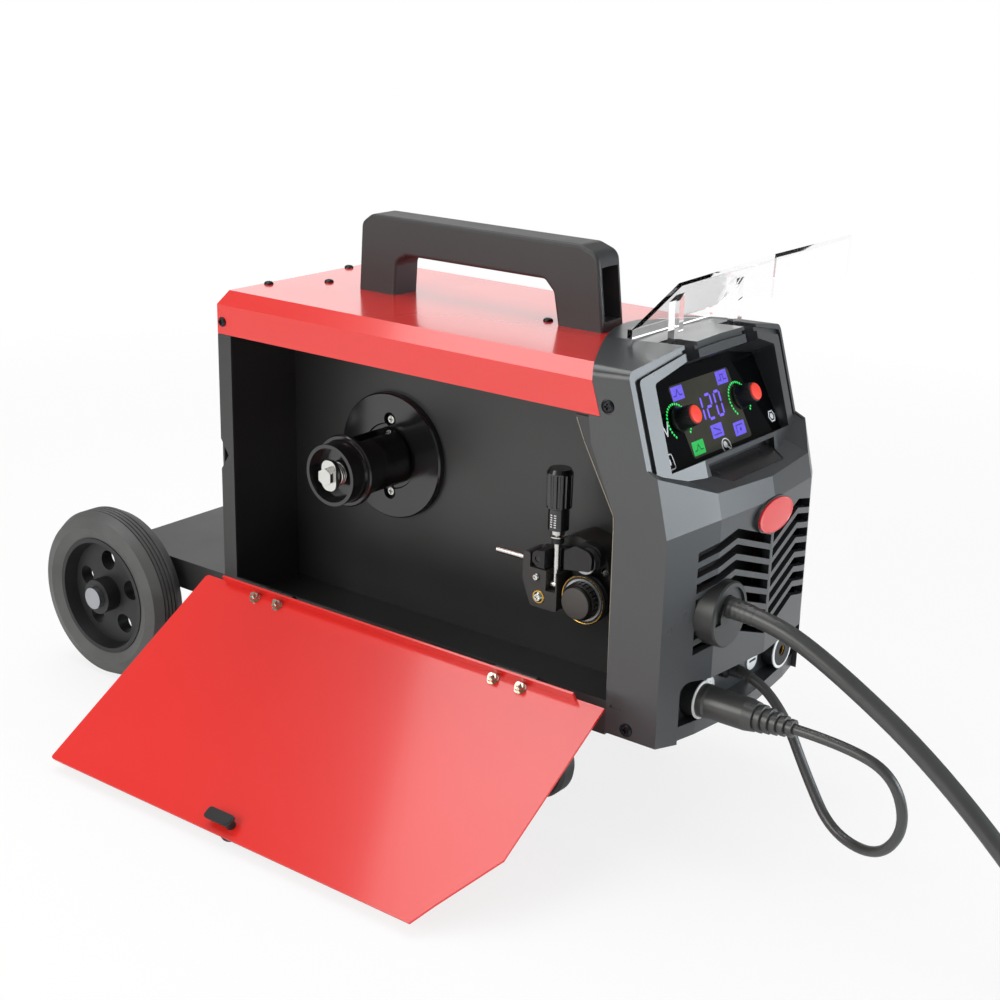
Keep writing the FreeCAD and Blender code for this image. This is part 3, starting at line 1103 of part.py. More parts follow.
def make_torch(start):
    """Hand torch lying on its side, its neck bent in the horizontal plane."""
    start = start + V(GAP + 0.1, 0, 0)
    x, y, z = start
    boot = turned([(0, 0), (9, 0), (10, 3), (9.4, 6), (11, 9), (10.4, 12), (12, 15), (11.4, 18), (13.5, 22),
                   (19.5, 27), (20.0, 32), (20.0, 40), (0, 40)], (x, y, z), (1, 0, 0))
    sections = []
    for distance, wide, tall, bend in ((40, 19.5, 19.4, 0), (75, 17, 16.9, 1.5), (110, 19, 16.5, 2.5),
                                       (150, 17.5, 15.5, 1.0), (182, 13, 12.9, -3.0)):
        wire = Part.Wire(Part.Ellipse(V(0, 0, 0), wide, tall).toShape())
        wire.rotate(V(0, 0, 0), V(1, 1, 1), 120)
        wire.translate(V(x + distance, y + bend, z))
        sections.append(wire)
    handle = Part.makeLoft(sections, True, False)
    half = TRIGGER_W / 2
    well = box(x + 118, x + 160, y - 30, y - 5, z - half - GAP, z + half + GAP)
    neck_start = V(x + 182, y - 3, z)
    pin = rod((x + 151, y - 13, z - half - 2), (0, 0, 1), 1.5, TRIGGER_W + 4)
    add("torch_handle", tilt(fuse([handle.cut(well), boot, pin]), start))
    trigger = prism_xy([(x + 120, y - 9.6), (x + 152, y - 9.6), (x + 158, y - 14.2, 1),
                        (x + 150, y - 21, 4),
                        (x + 128, y - 18.5, 3), (x + 119, y - 13)], z - half, z + half)
    trigger = trigger.cut(rod((x + 151, y - 13, z - half - 1), (0, 0, 1), 1.5 + FIT, TRIGGER_W + 2))
    add("torch_trigger", tilt(trigger, start))
    pivot = Part.Vertex(x + 151, y - 13, z)
    print("trigger pivot", [round(c, 3) for c in tilt(pivot, start).Point])
    bend_r = 42.0
    bend = math.radians(50)
    end = neck_start + V(18, 0, 0) + V(bend_r * math.sin(bend), -bend_r * (1 - math.cos(bend)), 0)
    middle = neck_start + V(18, 0, 0) + V(bend_r * math.sin(bend / 2),
                                          -bend_r * (1 - math.cos(bend / 2)), 0)
    head = V(math.cos(bend), -math.sin(bend), 0)
    path = Part.Wire([Part.LineSegment(neck_start, neck_start + V(18, 0, 0)).toShape(),
                      Part.Arc(neck_start + V(18, 0, 0), middle, end).toShape(),
                      Part.LineSegment(end, end + head * 20).toShape()])
    neck = pipe(path, neck_start, V(1, 0, 0), 17)
    add("torch_neck", tilt(neck, start))
    tip = end + head * 20
    nozzle = turned([(0, 0), (11.5, 0), (11.5, 30), (9, 48), (7.5, 48), (8.5, 12), (3.4, 12), (3.4, 45),
                     (0, 46)], tuple(tip), tuple(head))
    add("torch_nozzle", tilt(nozzle, start))


def tilt(shape, start):
    """Lower the torch's front end on to the floor."""
    shape = shape.copy()
    shape.rotate(start, V(0, 1, 0), TORCH_DIP)
    return shape


# Electronics, fan and rear fittings

def make_electronics():
    x0, x1 = DIVIDER_X + SHEET + 16, HALF_W - SHEET - 8
    z0 = FLOOR_Z
    base = box(x0, x1, 90, 310, z0 + 34, z0 + 40)
    fins = [box(x0 + k * 8.0, x0 + k * 8.0 + 2.5, 90, 310, z0, z0 + 34)
            for k in range(int((x1 - x0) / 8) + 1)
            if x0 + k * 8.0 + 2.5 <= x1]
    add("heat_sink", fuse([base] + fins))
    board_z = z0 + 40
    board = box(x0 - 6, x1 + 4, 80, 325, board_z, board_z + 1.6)
    core = box(x0 + 8, x0 + 64, 96, 150, board_z + 1.6, board_z + 46)
    winding = box(x0 + 2, x0 + 70, 108, 138, board_z + 8, board_z + 40)
    choke = turned([(9, 0), (22, 0), (22, 24), (9, 24)], (x0 + 36, 190, board_z + 1.6), (0, 0, 1))
    cans = [rod((x0 + 16 + 30 * k, 240, board_z + 1.6), (0, 0, 1), 12.5, 40) for k in range(3)]
    panel_board = glass_prism([(-60, 10), (-60, 27), (60, 27), (60, 10)], -GLASS_T - 1.6, -GLASS_T)
    add("circuit_boards", group([fuse([board, core, winding, choke] + cans), panel_board]))

    half = FAN_SIZE / 2
    y1 = REAR_INNER_Y
    y0 = y1 - FAN_DEPTH
    square = [(FAN_X - half, FAN_Z - half, 5), (FAN_X + half, FAN_Z - half, 5),
              (FAN_X + half, FAN_Z + half, 5), (FAN_X - half, FAN_Z + half, 5)]
    frame = prism_xz(square, y0, y1)
    frame = frame.cut(rod((FAN_X, y0 - 1, FAN_Z), (0, 1, 0), FAN_BORE_R, FAN_DEPTH + 2))
    hub_plate = rod((FAN_X, y0, FAN_Z), (0, 1, 0), FAN_HUB_R, 3)
    spokes = [box(FAN_X - FAN_BORE_R - 1, FAN_X + FAN_BORE_R + 1, y0, y0 + 3, FAN_Z - 2, FAN_Z + 2),
              box(FAN_X - 2, FAN_X + 2, y0, y0 + 3, FAN_Z - FAN_BORE_R - 1, FAN_Z + FAN_BORE_R + 1)]
    shaft = rod((FAN_X, y0, FAN_Z), (0, 1, 0), 1.5, 16)
    add("fan_frame", fuse([frame, hub_plate, shaft] + spokes))
    hub = rod((FAN_X, y0 + 3 + GAP, FAN_Z), (0, 1, 0), FAN_HUB_R, 17)
    blades = []
    for k in range(FAN_BLADES):
        blade = box(FAN_HUB_R - 3, FAN_BORE_R - 1.2, -1.0, 1.0, -9, 9)
        blade.rotate(V(0, 0, 0), V(1, 0, 0), 50)
        blade.translate(V(0, y0 + 12, 0))
        blade.rotate(V(0, y0 + 12, 0), V(0, 1, 0), k * 360.0 / FAN_BLADES)
        blade.translate(V(FAN_X, 0, FAN_Z))
        blades.append(blade)
    rotor = fuse([hub] + blades).cut(rod((FAN_X, y0, FAN_Z), (0, 1, 0), 1.5 + FIT, 17))
    add("fan_rotor", rotor)

    valve = fuse([box(GAS_X - 12, GAS_X + 12, REAR_INNER_Y - 44, REAR_INNER_Y, GAS_Z - 12, GAS_Z + 12),
                  rod((GAS_X, REAR_INNER_Y - 26, GAS_Z + 11), (0, 0, 1), 9, 26)])
    barb = turned([(0, 0), (GAS_R, 0), (GAS_R, 4), (4.5, 6), (5.5, 9), (4.2, 13), (5.2, 15), (4, 19),
                   (0, 19)], (GAS_X, REAR_INNER_Y - 0.1, GAS_Z), (0, 1, 0))
    add("gas_valve", fuse([valve, barb]))

    y = COVER_L
    body = box(SWITCH_X - 12, SWITCH_X + 12, y, y + 2, SWITCH_Z - 16, SWITCH_Z + 16)
    body = fuse([body, box(SWITCH_X - 9.9, SWITCH_X + 9.9, y - 20, y, SWITCH_Z - 13.9, SWITCH_Z + 13.9)])
    body = body.cut(box(SWITCH_X - 8, SWITCH_X + 8, y - 12, y + 3, SWITCH_Z - 12, SWITCH_Z + 12))
    pin = rod((SWITCH_X - 9, y - 2, SWITCH_Z), (1, 0, 0), 1.2, 18)
    add("switch_body", fuse([body, pin]))
    rocker = prism_yz([(y - 7, SWITCH_Z - 8), (y + 1.2, SWITCH_Z - 11.2, 1), (y + 2.2, SWITCH_Z),
                       (y + 5.4, SWITCH_Z + 10.6, 1), (y - 6, SWITCH_Z + 8)], SWITCH_X - 7.6,
                      SWITCH_X + 7.6)
    rocker = rocker.cut(rod((SWITCH_X - 9, y - 2, SWITCH_Z), (1, 0, 0), 1.2 + FIT, 18))
    add("power_rocker", rocker)


# Handle

def make_handle():
    z0 = TOP_Z
    lean = 7.2
    side = [(HANDLE_FRONT_Y, z0), (HANDLE_FRONT_Y + lean, GRIP_TOP_Z - 6, 10),
            (HANDLE_FRONT_Y + 24, GRIP_TOP_Z, 12),
            (HANDLE_REAR_Y - 14, GRIP_TOP_Z, 12), (HANDLE_REAR_Y - 3, GRIP_TOP_Z - 8, 8),
            (HANDLE_REAR_Y, z0), (POST_REAR_START, z0), (POST_REAR_START - 1.5, GRIP_LOW_Z - 6, 7),
            (POST_REAR_START - 12, GRIP_LOW_Z, 5),
            (POST_FRONT_END + 14, GRIP_LOW_Z, 5), (POST_FRONT_END + 5, GRIP_LOW_Z - 9, 6),
            (POST_FRONT_END, z0)]
    half = HANDLE_W / 2
    handle = prism_yz(side, -half, half)
    side_edges = [e for e in handle.Edges if e.BoundBox.XLength < 0.1 and e.BoundBox.ZMin > z0 + 1]
    handle = handle.makeFillet(3.0, side_edges)
    wall = 4.0
    well = [(HANDLE_FRONT_Y - 5, z0 + 8), (HANDLE_FRONT_Y + 20, z0 + 8),
            (HANDLE_FRONT_Y + 27, GRIP_LOW_Z + 15), (HANDLE_FRONT_Y - 5, GRIP_LOW_Z + 15)]
    well = prism_yz(well, -half + wall, half - wall)
    rear_well = [(HANDLE_REAR_Y + 5, z0 + 8), (HANDLE_REAR_Y - 18, z0 + 8),
                 (HANDLE_REAR_Y - 22, GRIP_LOW_Z + 8), (HANDLE_REAR_Y + 5, GRIP_LOW_Z + 8)]
    rear_well = prism_yz(rear_well, -half + wall, half - wall)
    add("handle", handle.cut(group([well, rear_well])))


# Undercarriage

def make_wheels():
    inner_x = HALF_W + WHEEL_GAP
    outer_x = inner_x + WHEEL_W
    axle = fuse([rod((-outer_x - 5, AXLE_Y, AXLE_Z), (1, 0, 0), AXLE_R, 2 * outer_x + 10)]
                + both(rod((-outer_x - 5, AXLE_Y, AXLE_Z), (1, 0, 0), AXLE_R + 4, 5 - GAP))
                + both(rod((-inner_x + GAP, AXLE_Y, AXLE_Z), (1, 0, 0), AXLE_R + 4, WHEEL_GAP - GAP)))
    add("rear_axle", axle)
    rim_r = WHEEL_R - 24
    shoulder = 12.0
    land = (WHEEL_W - 2 * shoulder) / TYRE_GROOVES
    tread = []
    for k in range(TYRE_GROOVES):
        h = shoulder + k * land
        tread += [(WHEEL_R, h), (WHEEL_R, h + land * 0.6), (WHEEL_R - 1.6, h + land * 0.7),
                  (WHEEL_R - 1.6, h + land * 0.9)]
    tyre = [(rim_r, 5), (WHEEL_R - 14, 0.6), (WHEEL_R - 4.5, 3.6)] + tread
    tyre += [(WHEEL_R, WHEEL_W - shoulder), (WHEEL_R - 4.5, WHEEL_W - 3.6), (WHEEL_R - 14, WHEEL_W - 0.6),
             (rim_r, WHEEL_W - 5)]
    rim = [(AXLE_R + FIT, 0), (16, 0), (16, 12), (rim_r - 7, 14), (rim_r - 4, 4), (rim_r, 4),
           (rim_r, WHEEL_W - 4),
           (rim_r - 4, WHEEL_W - 4), (rim_r - 7, WHEEL_W - 16), (16, WHEEL_W - 14), (16, WHEEL_W),
           (AXLE_R + FIT, WHEEL_W)]
    for name, sign in (("near", -1), ("far", 1)):
        start = (sign * inner_x, AXLE_Y, AXLE_Z)
        add("tyre_" + name, turned(tyre, start, (sign, 0, 0)))
        wheel = turned(rim, start, (sign, 0, 0))
        holes = []
        for k in range(5):
            angle = math.radians(72 * k)
            reach = (16 + rim_r - 7) / 2
            spot = (sign * inner_x - 5 * sign, AXLE_Y + reach * math.sin(angle),
                    AXLE_Z + reach * math.cos(angle))
            holes.append(rod(spot, (sign, 0, 0), 9.0, WHEEL_W + 10))
        add("rim_" + name, wheel.cut(group(holes)))


def make_castors():
    top = FLOOR_Z - SHEET
    plates = []
    plate_t = 3.0
    cup_h = 9.0
    for x in (-CASTOR_X, CASTOR_X):
        plate = box(x - 30, x + 30, CASTOR_Y - 26, CASTOR_Y + 26, top - plate_t, top)
        cup = turned([(0, 0), (21, 0), (19, cup_h), (0, cup_h)], (x, CASTOR_Y, top - plate_t), (0, 0, -1))
        kingpin = rod((x, CASTOR_Y, top - plate_t - cup_h - 5.2), (0, 0, 1), CASTOR_PIN_R, 6)
        head = rod((x, CASTOR_Y, top - plate_t - cup_h - 8), (0, 0, 1), 7, 8 - 2.5 - 2 * GAP)
        plates.append(fuse([plate, cup, kingpin, head]))
    add("castor_plates", group(plates))
    crown_top = top - plate_t - cup_h - GAP
    axle_z = GROUND_Z + CASTOR_R
    axle_y = CASTOR_Y + CASTOR_TRAIL
    inner = CASTOR_W / 2 + 1.5
    for name, x in (("near", -CASTOR_X), ("far", CASTOR_X)):
        crown = box(x - inner - 2.5, x + inner + 2.5, CASTOR_Y - 16, CASTOR_Y + 18, crown_top - 2.5,
                    crown_top)
        cheek = [(CASTOR_Y - 16, crown_top), (CASTOR_Y + 18, crown_top), (axle_y + 9, axle_z, 6),
                 (axle_y, axle_z - 9, 6), (axle_y - 10, axle_z, 6), (CASTOR_Y - 16, crown_top - 12)]
        cheeks = [prism_yz(cheek, x + s * (inner + 1.25) - 1.25, x + s * (inner + 1.25) + 1.25)
                  for s in (-1, 1)]
        bolt = rod((x - inner - 5, axle_y, axle_z), (1, 0, 0), CASTOR_PIN_R, 2 * inner + 10)
        fork = fuse([crown, bolt] + cheeks)
        fork = fork.cut(rod((x, CASTOR_Y, crown_top - 10), (0, 0, 1), CASTOR_PIN_R + FIT, 14))
        add("castor_fork_" + name, fork)
        half = CASTOR_W / 2
        wheel = turned([(CASTOR_PIN_R + FIT, 0), (9, 0), (9, 4), (CASTOR_R - 7, 5), (CASTOR_R - 6, 1.5),
                        (CASTOR_R - 2, 1.5), (CASTOR_R, 5), (CASTOR_R, CASTOR_W - 5),
                        (CASTOR_R - 2, CASTOR_W - 1.5),
                        (CASTOR_R - 6, CASTOR_W - 1.5), (CASTOR_R - 7, CASTOR_W - 5), (9, CASTOR_W - 4),
                        (9, CASTOR_W), (CASTOR_PIN_R + FIT, CASTOR_W)], (x + half, axle_y, axle_z),
                       (-1, 0, 0))
        add("castor_wheel_" + name, wheel)


def make_screws(clamp_bolt):
    black = []
    rear = COVER_L - COVER_SCREW_INSET
    for x, y in ((56 - HALF_W, rear), (98 - HALF_W, rear - 31), (159.5 - HALF_W, rear + 2),
                 (102 - HALF_W, 120)):
        black.append(pan_screw((x, y, TOP_Z), (0, 0, 1), 4.0, 2.2))
    black.append(pan_screw((-HALF_W, rear - 1, 226.7), (-1, 0, 0), 4.0, 2.0))
    black.append(pan_screw((HALF_W, rear - 1, 226.7), (1, 0, 0), 4.0, 2.2))
    black.append(pan_screw((HALF_W, rear - 1, 40), (1, 0, 0), 4.0, 2.2))
    black.append(pan_screw((HALF_W, 10, 40), (1, 0, 0), 4.0, 2.2))
    for y, z in BEZEL_SCREWS:
        black.append(pan_screw((-HALF_W + 1.2, y, z), (-1, 0, 0), 4.6, 2.2))
        black.append(pan_screw((HALF_W - 1.2, y, z), (1, 0, 0), 4.6, 2.2))
    black.append(pan_screw((0, HANDLE_FRONT_Y + 12, TOP_Z + 8), (0, 0, 1), 4.6, 3))
    black.append(pan_screw((0, HANDLE_REAR_Y - 10, TOP_Z + 8), (0, 0, 1), 4.6, 3))
    add("case_screws", group(black))
    zinc = [clamp_bolt]
    for side in (-1, 1):
        zinc.append(pan_screw((DIVIDER_X - 2.0, SPOOL_Y, SPOOL_Z + side * FLANGE_SCREW), (-1, 0, 0), 4.5,
                              3.2))
    zinc.append(pan_screw((BODY_FRONT_X, 79.5, 63), (-1, 0, 0), 3.0, 2.0))
    zinc.append(pan_screw((BODY_FRONT_X, 77, 47), (-1, 0, 0), 4.0, 2.4))
    zinc.append(pan_screw((GEAR_FACE_X, 29, 73), (-1, 0, 0), 3.6, 2.2))
    add("zinc_screws", group(zinc))


make_base_tray()
make_rear_panel()
make_divider()
make_front_frame()
make_top_cover()
make_bezel()
make_panel()
make_knobs()
make_badge()
make_clear_cover()
make_door()
make_hinge_leaves()
clamp_bolt = make_spool_holder()
make_feeder()
make_torch_socket()
make_sockets()
make_cords()
make_electronics()
make_handle()
make_wheels()
make_castors()
make_screws(clamp_bolt)

# Origin: middle of the footprint, without the cords and what hangs on them, on the floor
CORDS = ("torch_coil", "torch_hose", "polarity_lead", "polarity_plug", "torch_handle", "torch_trigger",
         "torch_neck", "torch_nozzle")
extent = FreeCAD.BoundBox()
for name, shape in parts.items():
    if name not in CORDS:
        extent.add(shape.optimalBoundingBox(False, False))
shift = V(-(extent.XMin + extent.XMax) / 2, -(extent.YMin + extent.YMax) / 2, -GROUND_Z)
print("shift", round(shift.x, 4), round(shift.y, 4), round(shift.z, 4))
print("size", [round(v, 1) for v in (extent.XLength, extent.YLength, extent.ZLength)], "low",
      round(extent.ZMin, 3))

os.makedirs("parts", exist_ok=True)
for name, shape in parts.items():
    shape.translate(shift)
    shape.exportStep("parts/" + name + ".step")
print("nodes", len(parts), "solids", sum(len(s.Solids) for s in parts.values()))
for name, shape in parts.items():
    if not shape.isValid() or not shape.Solids:
        print("check", name, shape.isValid(), len(shape.Solids))
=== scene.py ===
import math

import bpy
from mathutils import Matrix, Vector


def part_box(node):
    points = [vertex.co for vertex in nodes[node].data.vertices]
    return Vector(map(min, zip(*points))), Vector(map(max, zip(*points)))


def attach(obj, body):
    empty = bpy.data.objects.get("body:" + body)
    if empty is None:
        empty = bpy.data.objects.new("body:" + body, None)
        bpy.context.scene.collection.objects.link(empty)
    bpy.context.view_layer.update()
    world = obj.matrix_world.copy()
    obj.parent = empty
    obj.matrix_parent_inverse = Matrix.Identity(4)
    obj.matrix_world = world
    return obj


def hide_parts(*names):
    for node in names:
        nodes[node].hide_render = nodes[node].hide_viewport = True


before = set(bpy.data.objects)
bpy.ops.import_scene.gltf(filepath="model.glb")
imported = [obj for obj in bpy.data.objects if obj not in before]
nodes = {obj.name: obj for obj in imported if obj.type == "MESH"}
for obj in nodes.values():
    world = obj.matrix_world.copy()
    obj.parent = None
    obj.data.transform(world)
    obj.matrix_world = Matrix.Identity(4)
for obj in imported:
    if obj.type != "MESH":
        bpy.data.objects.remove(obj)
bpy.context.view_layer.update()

# Cabinet coordinates in mm: x = 0 middle, y = 0 front edge of the cover, z = 0 door hinge level
COVER_REAR_Y = 387.0
GROUND_Z = -118.0
cover_lo, cover_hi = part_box("top_cover")
ORIGIN = Vector(((cover_lo.x + cover_hi.x) / 2, cover_hi.y - COVER_REAR_Y / 1000, -GROUND_Z / 1000))

# Directions of turned pieces
OUT, FRONT, BACK, UP = (-1, 0, 0), (0, -1, 0), (0, 1, 0), (0, 0, 1)

# Camera, fitted to the photograph
CAMERA_AT = (-1069.7, -640.5, 533.3)
CAMERA_YAW, CAMERA_PITCH, CAMERA_ROLL = 52.9, 18.3, -1.4
CAMERA_LENS = 60.76

# Control panel: x across, u up the glass
GLASS_TILT = math.radians(28.0)
GLASS_Y, GLASS_Z = -43.4, 172.0
WINDOW = (-42.0, 6.0, 43.0, 62.5)
LEAN = 0.15
SEGMENTS = {"0": "abcdef", "1": "bc", "2": "abged"}
SEGMENT_GAP = 0.4
DIGIT_X, DIGIT_U, DIGIT_STEP = -12.0, 38.6, 13.4
DIGIT_W, DIGIT_H, DIGIT_THICK = 7.6, 18.4, 2.1
ICON_W, ICON_H = 16.0, 10.4
ICONS = [("wave", -32.7, 56.0), ("step", 31.0, 56.4), ("slope", -0.2, 19.6), ("corner", 30.0, 15.1)]
LIT_ICON = [("wave", -31.4, 13.0)]
LAMPS, LAMP_RING, LAMP_R = 25, 13.8, 0.95
LAMPS_FROM, LAMPS_SWEEP, LAMPS_DOWN = -45, 270, 1.3

# Knobs
KNOB_X, KNOB_U = 44.0, 37.0
KNOB_BODY = [(9.5, 0.0), (9.5, 2.0), (8.8, 2.8), (8.6, 4.0), (7.9, 14.6), (7.3, 15.2), (6.9, 15.3),
             (6.9, 14.4), (0.001, 14.4)]
KNOB_FLUTED = range(3, 6)
KNOB_FLUTE = 0.45
KNOB_LIFT, KNOB_LINE_H = 0.35, 15.35
KNOB_CAP = [(6.85, 14.5), (6.85, 16.0), (6.5, 16.5), (5.6, 16.75), (0, 16.85)]

# Front sockets and their signs
SOCKET_X, SOCKET_FACE_Y, SOCKET_Z = 61.0, -71.5, 1.0
SOCKET_RING = [(12.6, 0.9), (12.6, -0.25), (14.3, -0.25), (14.9, 0.1), (14.9, 0.9)]
SOCKET_INSERT = [(4.55, 1.0), (4.55, 24.0), (4.2, 24.0), (4.2, 1.4), (4.55, 1.0)]
POCKET_Y = -60.0
SIGN_DISC = [(0, 1.2), (7.4, 1.2), (8.0, 0.8), (8.0, 0.0)]
SIGN_Z, SIGN_HEIGHT = -1.0, 1.2

# Wire feeder
WIRE_X, WIRE_Z = -60.0, 73.5
POST_Y = 66.0
DRIVE_Y, DRIVE_Z = 38.0, 53.0
ROLL_FACE_X, CAP_FACE_X, BODY_FACE_X = -64.0, -74.0, -68.0
SCALE_R, SCALE_TURN, SCALE_Z, SCALE_STEP, SCALE_ROWS = 8.3, math.radians(-176), 107.2, 1.9, 6

# Cabinet trim
JAMB_X = -106.0
JAMB_EDGE = [(-15.5, 4.0), (-14.5, 134.0), (-14.0, 144.0), (13.9, 195.0), (20.9, 211.0)]
CHIN_Y, CHIN_Z, CHIN_SLOPE = -42.0, 172.74, 0.2377
LABEL_FILM = [(-51.5, -49.2), (51.5, -49.2), (36.8, -71.0), (-36.8, -71.0)]
BADGE_A, BADGE_B, BADGE_BACK_Y, BADGE_Z = 25.0, 13.0, -87.8, 134.9
BADGE_DOME = [(1.0, 0.0), (1.0, 1.2), (0.985, 1.5), (0.95, 1.5), (0.93, 1.3), (0.8, 1.55), (0.5, 1.75),
              (0.2, 1.85)]

# Cords, by the points that their curves run along
HOSE_D, LEAD_D = 14.0, 8.0
HOSE_ROUTE = [(-61, -81, 80), (-61, -118, 79), (-61, -168, 60), (-62, -262, 4), (-71, -365, -86)]
LEAD_ROUTE = [(-12, -67, 8), (-12, -88, 8), (-13, -116, -16), (-18, -140, -56), (-27, -168, -90),
              (-40, -212, -90), (-52, -236, -52), (-60, -226, -10), (-61, -187, 1), (-61, -148, 1)]
COIL_X, COIL_Y, COIL_R, COIL_PITCH = -5.0, -480.0, 90.0, 14.8
COIL_TURNS, COIL_INWARD, COIL_CLIMB_FROM, COIL_PER_TURN = 4.25, 2.25, 2.0, 16
FLOOR_GAP = 0.02
LANDING, TAIL = 42.0, 40.0

# Room
WHITE = (1.0, 1.0, 1.0, 1.0)
FLOOR_HALF = 12.0
SEEN_DIRECTLY = ("Is Camera Ray", "Is Transmission Ray")
BODY_MIDDLE = (0.05, -0.05, 0.25)
# name, place and target in metres, size in metres, power in watts, tint
LIGHTS = [
    ("top_softbox", (0.0, 0.5, 1.9), BODY_MIDDLE, (1.5, 1.2), 16, (1.0, 1.0, 1.0)),
    ("door_side_softbox", (-1.9, 0.5, 1.0), BODY_MIDDLE, (1.4, 1.2), 22, (1.0, 0.99, 0.96)),
    ("front_softbox", (0.75, -2.3, 0.55), (0.05, -0.3, 0.25), (2.0, 0.9), 34, (0.86, 0.94, 1.0)),
    ("far_softbox", (1.78, 1.42, 1.0), (0.07, 0.1, 0.35), (1.5, 0.9), 4.5, (1.0, 1.0, 1.0)),
]


def at(x, y, z):
    """A point in metres from cabinet coordinates in mm."""
    return Vector((x, y, z)) / 1000 + ORIGIN


def glass(x, u, n=0.0):
    """A point on the control panel: x across, u up the glass, n out of it, in mm."""
    s, c = math.sin(GLASS_TILT), math.cos(GLASS_TILT)
    return at(x, GLASS_Y + u * s - n * c, GLASS_Z + u * c + n * s)


# Materials

def srgb(r, g, b):
    def linear(v):
        v = v / 255
        return v / 12.92 if v <= 0.04045 else ((v + 0.055) / 1.055) ** 2.4
    return (linear(r), linear(g), linear(b), 1.0)


def shade(colour, factor):
    return tuple(min(1.0, c * factor) for c in colour[:3]) + (1.0,)


def connect(tree, value, socket):
    """Link a node's output to the socket, or set the socket's value."""
    if isinstance(value, bpy.types.NodeSocket):
        tree.links.new(value, socket)
    else:
        socket.default_value = value


def add_node(tree, kind, inputs, **settings):
    """A new node with its settings made and its inputs linked or set."""
    node = tree.nodes.new(kind)
    for key, value in settings.items():
        setattr(node, key, value)
    for key, value in inputs.items():
        connect(tree, value, node.inputs[key])
    return node


class Graph:
    """A procedural material around one Principled shader."""

    def __init__(self, name):
        self.material = bpy.data.materials.new(name)
        self.material.use_nodes = True
        self.tree = self.material.node_tree
        self.shader = self.tree.nodes["Principled BSDF"]
        self.coords = self.tree.nodes.new("ShaderNodeTexCoord").outputs["Object"]

    def add(self, kind, inputs, **settings):
        return add_node(self.tree, kind, inputs, **settings)

    def stretch(self, scale):
        return self.add("ShaderNodeMapping", {"Vector": self.coords, "Scale": scale}).outputs["Vector"]

    def noise(self, scale, detail=3.0, rough=0.55, vector=None):
        inputs = {"Vector": vector or self.coords, "Scale": scale, "Detail": detail, "Roughness": rough}
        return self.add("ShaderNodeTexNoise", inputs).outputs["Fac"]

    def cells(self, scale):
        return self.add("ShaderNodeTexVoronoi", {"Vector": self.coords, "Scale": scale}).outputs["Distance"]

    def ramp(self, value, *stops):
        node = self.add("ShaderNodeValToRGB", {"Fac": value})
        for element, (place, colour) in zip(node.color_ramp.elements, stops):
            element.position = place
            element.color = colour
        return node.outputs["Color"]

    def tones(self, value, low, high):
        """Two tones that pass softly into each other."""
        return self.ramp(value, (0.3, low), (0.7, high))

    def span(self, value, low, high):
        inputs = {"Value": value, "To Min": low, "To Max": high}
        return self.add("ShaderNodeMapRange", inputs).outputs["Result"]

    def bump(self, value, strength, distance):
        inputs = {"Height": value, "Strength": strength, "Distance": distance}
        self.set(Normal=self.add("ShaderNodeBump", inputs).outputs["Normal"])

    def set(self, **sockets):
        """Link or set the shader's inputs, named with _ for each space."""
        for key, value in sockets.items():
            connect(self.tree, value, self.shader.inputs[key.replace("_", " ")])


def surface(name, colour, rough=(0.4, 0.5), vary=0.08, patch=14.0, grain=900.0, bump=0.15, depth=0.00005,
            **sockets):
    """A finish with soft patches of tone, uneven gloss and a fine grain."""
    g = Graph(name)
    g.set(Base_Color=g.tones(g.noise(patch, 4.0), shade(colour, 1 - vary), shade(colour, 1 + vary)),
          Roughness=g.span(g.noise(patch * 2.6), *rough), **sockets)
    g.bump(g.noise(grain, 2.0), bump, depth)
    return g.material


def moulded(name, colour, rough=(0.42, 0.52), cell=1500.0, strength=0.35, vary=0.06, **sockets):
    """Moulded plastic with an eroded grain."""
    g = Graph(name)
    g.set(Base_Color=g.tones(g.noise(9.0, 4.0), shade(colour, 1 - vary), shade(colour, 1 + vary)),
          Roughness=g.span(g.noise(30.0), *rough), **sockets)
    g.bump(g.cells(cell), strength, 0.00006)
    return g.material


def metal(name, colour, rough=(0.22, 0.36), brushed=(1.0, 1.0, 1.0), scale=400.0, bump=0.12):
    """Metal with fine scratches drawn out along one direction."""
    g = Graph(name)
    lines = g.noise(scale, 4.0, 0.5, g.stretch(brushed))
    g.set(Base_Color=g.tones(g.noise(20.0), shade(colour, 0.9), shade(colour, 1.08)),
          Roughness=g.span(lines, *rough), Metallic=1.0)
    g.bump(lines, bump, 0.00003)
    return g.material


def glow(name, colour, strength):
    """A lamp's light, a little uneven."""
    g = Graph(name)
    g.set(Emission_Color=g.tones(g.noise(600.0, 2.0), shade(colour, 0.75), shade(colour, 1.1)),
          Base_Color=shade(colour, 0.4), Emission_Strength=strength, Roughness=0.35)
    return g.material


def clear_plastic():
    """Clear sheet with a faint haze."""
    g = Graph("clear plastic")
    g.set(Base_Color=WHITE, Roughness=g.span(g.noise(18.0), 0.02, 0.06), Transmission_Weight=1.0, IOR=1.18)
    g.bump(g.noise(30.0, 1.0), 0.02, 0.0003)
    return g.material


